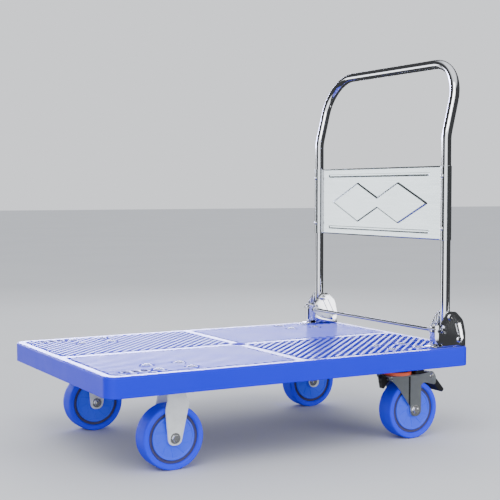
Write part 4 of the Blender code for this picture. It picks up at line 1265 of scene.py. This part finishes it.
def nose(y):
    """The bracket's rounded front, open below for the foot bolt and notched for the bar."""
    centre_x, outer, inner = 0.3748, CHEEK_INNER + CHEEK, CHEEK_INNER
    bm = bmesh.new()
    low = 0.2228
    turns = [math.pi / 2 + math.pi * step / 32 for step in range(33)]
    rings = []
    for turn in turns:
        high = 0.2620 + 0.0035 * abs(math.sin(turn))
        section = ((outer, low), (outer, high), (inner, high), (inner, low))
        spots = [(centre_x + math.cos(turn) * r, y + math.sin(turn) * r, z) for r, z in section]
        rings.append(ring(bm, spots))
    loft(bm, rings)
    bm.faces.new(rings[0])
    bm.faces.new(rings[-1])
    bmesh.ops.recalc_face_normals(bm, faces=bm.faces)
    edges = [edge for edge in bm.edges if edge.calc_face_angle(0) > 1.2]
    bmesh.ops.bevel(bm, geom=edges, offset=0.0005, segments=2, profile=0.5, affect="EDGES")
    return bm


def rod_notch(y):
    notch = hull((ROD[0] - 0.004, ROD[1], 0.0052), (*ROD, 0.0052), (*ROD_RAISED, 0.0052))
    return upright(plate(notch, 0.06, [], 0.0), y)


def build_bracket(name, side):
    y = side * TUBE_Y
    reach = CHEEK_INNER + CHEEK
    inner, outer = TUBE_Y - CHEEK_INNER - CHEEK / 2, TUBE_Y + CHEEK_INNER + CHEEK / 2
    round_holes = [circle(TUBE_X, PIVOT_Z, 0.0043, 32), circle(*LEVER_PIN, 0.0043, 32)]
    lock_slot = hull((*LOCK, 0.0048), (*LOCK_RAISED, 0.0048))
    window = hull((0.4150, 0.2660, 0.002), (0.4215, 0.2440, 0.002))
    parts = [box((0.350, y - reach, BRACKET_BOTTOM), (0.4425, y + reach, BRACKET_BOTTOM + 0.003), 0.0006)]
    low, high = (0.4395, y - reach + 0.001, BRACKET_BOTTOM + 0.001), (0.4422, y + reach - 0.001, 0.243)
    parts.append(box(low, high, 0.0006))
    for at_y, slot in ((inner, lock_slot), (outer, window)):
        cheek = upright(plate(cheek_outline(), CHEEK, round_holes + [slot], 0.0006), side * at_y)
        parts.append(carved(cheek, rod_notch(y)))
    parts.append(carved(nose(y), rod_notch(y)))
    whole = joined(*parts)
    skin(f"bracket_{name}", whole, "chrome", "frame", 38, even=side > 0)
    pins = [sweep([(0.3827, y - reach - 0.0016, 0.248), (0.3827, y + reach + 0.0016, 0.248)], 0.0025, 20)]
    pins.append(sweep([(0.3562, y - 0.0125, 0.2570), (0.3562, y + 0.0125, 0.2570)], 0.0022, 20))
    add(f"bracket_{name}_pins", joined(*pins), "bolt", "frame")
    build_foot_bolts(name, y)


def build_foot_bolts(name, y):
    """Two hexagonal flange bolts that hold the bracket down on the deck."""
    parts = []
    base = BRACKET_BOTTOM + 0.0031
    collar = [(0, base + 0.0012), (0.0062, base + 0.0012), (0.0080, base + 0.0006), (0.0082, base), (0, base)]
    for x in (0.3625, 0.4240):
        head = plate(circle(0, 0, 0.0064, 6), 0.0040, [], 0.0005)
        placed(head, x, y, base + 0.0030)
        parts += [lathe(collar, 36, at=(x, y, 0)), head]
    add(f"foot_bolts_{name}", joined(*parts), "bolt", "frame", sharp=38)


def build_pivot(name, side):
    turn = outward((TUBE_X, side * TUBE_Y, PIVOT_Z), side)
    face = CHEEK_INNER + CHEEK + GAP
    tip = 0.2365 - TUBE_Y
    head = [(0, face + 0.0046), (0.0030, face + 0.0045), (0.0052, face + 0.0038), (0.0066, face + 0.0024)]
    head += [(0.0072, face + 0.0008), (0.0072, face), (0.0040, face)]
    head += [(0.0040, tip + 0.0006), (0.0034, tip), (0, tip)]
    bolt = lathe(head, 40)
    nut = plate(circle(0, 0, 0.0078, 6), 0.0050, [circle(0, 0, 0.0042, 24)], 0.0006)
    placed(nut, 0, 0, -face - 0.0025)
    for kind, bm, look in (("bolt", bolt, "chrome"), ("nut", nut, "bolt")):
        moved(bm, turn)
        skin(f"pivot_{kind}_{name}", bm, look, "frame", 38)


def build_lever_rivet(name, side):
    turn = outward((LEVER_PIN[0], side * TUBE_Y, LEVER_PIN[1]), side)
    face = CHEEK_INNER + CHEEK + GAP
    tip = 0.2365 - TUBE_Y
    profile = [(0, face + 0.0038), (0.0026, face + 0.0036), (0.0046, face + 0.0028), (0.0060, face + 0.0014)]
    profile += [(0.0063, face), (0.0040, face), (0.0040, tip), (0.0068, tip), (0.0068, tip - 0.0014)]
    rivet = lathe(profile + [(0.0060, tip - 0.0020), (0, tip - 0.0020)], 36)
    moved(rivet, turn)
    add(f"lever_rivet_{name}", rivet, "chrome", "frame", [f"lever_pin_{name}"])


def build_spring(name, side):
    """Torsion spring round the rivet, its legs on the pivot bolt and under the lock pin."""
    coil, wire, pitch = 0.0062, 0.0009, 0.0021
    first, last = math.radians(-103.5), math.radians(28 + 3 * 360)
    path = []
    for step in range(121):
        angle = first + (last - first) * step / 120
        y = 0.2448 - pitch * (angle - first) / math.tau
        path.append((LEVER_PIN[0] + coil * math.cos(angle), side * y, LEVER_PIN[1] + coil * math.sin(angle)))
    under = Vector(path[0]) + 0.028 * Vector((math.sin(first), 0, -math.cos(first)))
    upper = Vector(path[-1]) + 0.054 * Vector((-math.sin(last), 0, math.cos(last)))
    spring = sweep([tuple(under)] + path + [tuple(upper)], wire, 10)
    skin(f"release_spring_{name}", spring, "spring", "frame", 50)


def build_lever(name, side):
    outline = hull((*LEVER_PIN, 0.009), (*LOCK, 0.0078), (*ROD, 0.0080))
    holes = [circle(*LEVER_PIN, 0.0043, 32), circle(*ROD, ROD_RADIUS + 0.0003, 32)]
    lever = upright(plate(outline, 0.002, holes, 0.0005), side * 0.2498)
    start = 0.2420 if side > 0 else -0.2830
    x, z = LOCK
    pin = sweep([(x, start, z), (x, start + 0.0410, z)], 0.0040, 28)
    skin(f"release_lever_{name}", joined(lever, pin), "zinc", "release", 38)


def build_foot_bar():
    end = 0.2935
    half = [(0, end), (0.0026, end), (0.0036, end - 0.0004), (ROD_RADIUS, end - 0.0012)]
    bar = lathe(half + [(radius, -height) for radius, height in reversed(half)], 36)
    moved(bar, Matrix.Translation((ROD[0], 0, ROD[1])) @ ACROSS)
    # The bar takes the darker copy of the chrome: painted shade with a bluish painted reflection.
    skin("foot_bar", bar, "bar", "release")


# Studio.

# Softboxes as (azimuth, half, softness), (sine of elevation, half, softness) and strength.
SOFTBOXES = (
    ((1.40, 0.22, 0.40), (0.120, 0.060, 0.03), 25.0),
    ((-2.430, 0.450, 0.10), (0.15, 0.45, 0.10), 1.9),
    ((2.20, 0.100, 0.05), (-0.08, 0.17, 0.08), 2.8),
    ((1.90, 0.10, 0.20), (-0.16, 0.06, 0.05), 1.5),
)


def build_floor():
    bm = bmesh.new()
    bmesh.ops.create_grid(bm, x_segments=8, y_segments=8, size=30.0)
    floor = bpy.data.objects.new("floor", finish("floor", bm))
    bpy.context.scene.collection.objects.link(floor)
    look = Finish("floor_pale", (0.62, 0.63, 0.65), 0.55, Specular_IOR_Level=0.0)
    look.tint(look.ramp(look.noise(1.3, 4.0), 0.35, 0.75, 0.0, 0.4), (0.56, 0.57, 0.59))
    look.gloss(look.noise(7.0, 4.0), 0.45, 0.62)
    floor.data.materials.append(look.material)
    floor.visible_glossy = False


def build_card():
    """A white card beside the cart that only the far bracket mirrors."""
    bm = bmesh.new()
    ring(bm, [(1.30, -1.2, 0.0), (1.60, -1.2, 0.0), (1.60, -1.2, 0.16), (1.30, -1.2, 0.16)])
    bm.faces.new(bm.verts[:])
    card = bpy.data.objects.new("card", finish("card", bm))
    bpy.context.scene.collection.objects.link(card)
    white = (1.0, 1.0, 1.0)
    look = Finish("card_white", white, 0.5, Emission_Color=(*white, 1.0), Emission_Strength=3.5)
    look.tint(look.ramp(look.noise(4.0), 0.3, 0.7, 0.0, 0.3), (0.9, 0.9, 0.9))
    card.data.materials.append(look.material)
    card.visible_camera = False
    card.visible_diffuse = False
    card.visible_shadow = False


def add_light(name, place, aim, size, power, mirrored=True):
    light = bpy.data.lights.new(name, "AREA")
    light.shape = "RECTANGLE"
    light.size, light.size_y = size
    light.energy = power
    obj = bpy.data.objects.new(name, light)
    obj.location = place
    obj.rotation_euler = (Vector(aim) - Vector(place)).to_track_quat("-Z", "Y").to_euler()
    obj.visible_glossy = mirrored
    bpy.context.scene.collection.objects.link(obj)


def band(tree, value, centre, half, soft):
    """1 within a band of a value, 0 outside it."""
    offset = add_node(tree, "ShaderNodeMath", {0: value, 1: centre}, operation="SUBTRACT")
    away = add_node(tree, "ShaderNodeMath", {0: offset.outputs[0]}, operation="ABSOLUTE")
    inputs = {"Value": away.outputs[0], "From Min": half + soft, "From Max": half}
    return add_node(tree, "ShaderNodeMapRange", inputs).outputs["Result"]


def build_world():
    """An even pale room; polished surfaces mirror a dark one with four softboxes."""
    world = bpy.data.worlds.new("studio")
    bpy.context.scene.world = world
    world.use_nodes = True
    tree = world.node_tree
    tree.nodes.clear()
    where = add_node(tree, "ShaderNodeTexCoord").outputs["Generated"]
    axes = add_node(tree, "ShaderNodeSeparateXYZ", {"Vector": where}).outputs
    turn = add_node(tree, "ShaderNodeMath", {0: axes[1], 1: axes[0]}, operation="ARCTAN2").outputs[0]
    glossy = add_node(tree, "ShaderNodeLightPath").outputs["Is Glossy Ray"]
    total = add_node(tree, "ShaderNodeMapRange", {
        "Value": axes[2], "From Min": 0.65, "From Max": 0.85, "To Min": 0.06, "To Max": 1.3}).outputs[0]
    cool = None
    for azimuth, height, power in SOFTBOXES:
        across, up = band(tree, turn, *azimuth), band(tree, axes[2], *height)
        box_shape = add_node(tree, "ShaderNodeMath", {0: across, 1: up}, operation="MULTIPLY").outputs[0]
        cool = cool or box_shape
        inputs = {0: box_shape, 1: power, 2: total}
        total = add_node(tree, "ShaderNodeMath", inputs, operation="MULTIPLY_ADD").outputs[0]
    cool = add_node(tree, "ShaderNodeMath", {0: glossy, 1: cool}, operation="MULTIPLY").outputs[0]
    tint = add_node(tree, "ShaderNodeMix", {
        0: cool, 6: (0.94, 0.96, 1.0, 1.0), 7: (0.80, 0.82, 1.45, 1.0)}, data_type="RGBA").outputs[2]
    inputs = {0: glossy, 2: 1.15, 3: total}
    strength = add_node(tree, "ShaderNodeMix", inputs, data_type="FLOAT").outputs[0]
    sky = add_node(tree, "ShaderNodeBackground", {"Color": tint, "Strength": strength})
    end = add_node(tree, "ShaderNodeOutputWorld")
    tree.links.new(sky.outputs[0], end.inputs[0])


def build_camera():
    """The viewpoint: low, in front of the left side, looking slightly down."""
    yaw, pitch = 0.5073, -0.0530
    data = bpy.data.cameras.new("camera")
    data.sensor_width = 36.0
    data.lens = 79.8
    camera = bpy.data.objects.new("camera", data)
    camera.location = (-1.2375, -2.2806, 0.5725)
    camera.rotation_euler = (math.pi / 2 + pitch, 0.0, -yaw)
    bpy.context.scene.collection.objects.link(camera)
    bpy.context.scene.camera = camera


def build_object():
    build_deck()
    build_tube()
    build_panel()
    build_screws()
    build_foot_bar()
    for name, side in SIDES.items():
        build_front_caster(name, side)
        build_rear_caster(name, side)
        build_bracket(name, side)
        build_pivot(name, side)
        build_lever_rivet(name, side)
        build_spring(name, side)
        build_lever(name, side)


build_object()
build_floor()
build_world()
build_card()
add_light("key", (-1.6, -1.6, 2.6), (0.1, 0.0, 0.2), (2.2, 2.2), 70.0)
add_light("fill", (1.4, -3.2, 0.9), (0.2, 0.0, 0.2), (2.2, 1.4), 60.0, False)
add_light("back", (1.2, 2.4, 2.2), (0.0, 0.0, 0.2), (2.4, 1.6), 30.0, False)
build_camera()
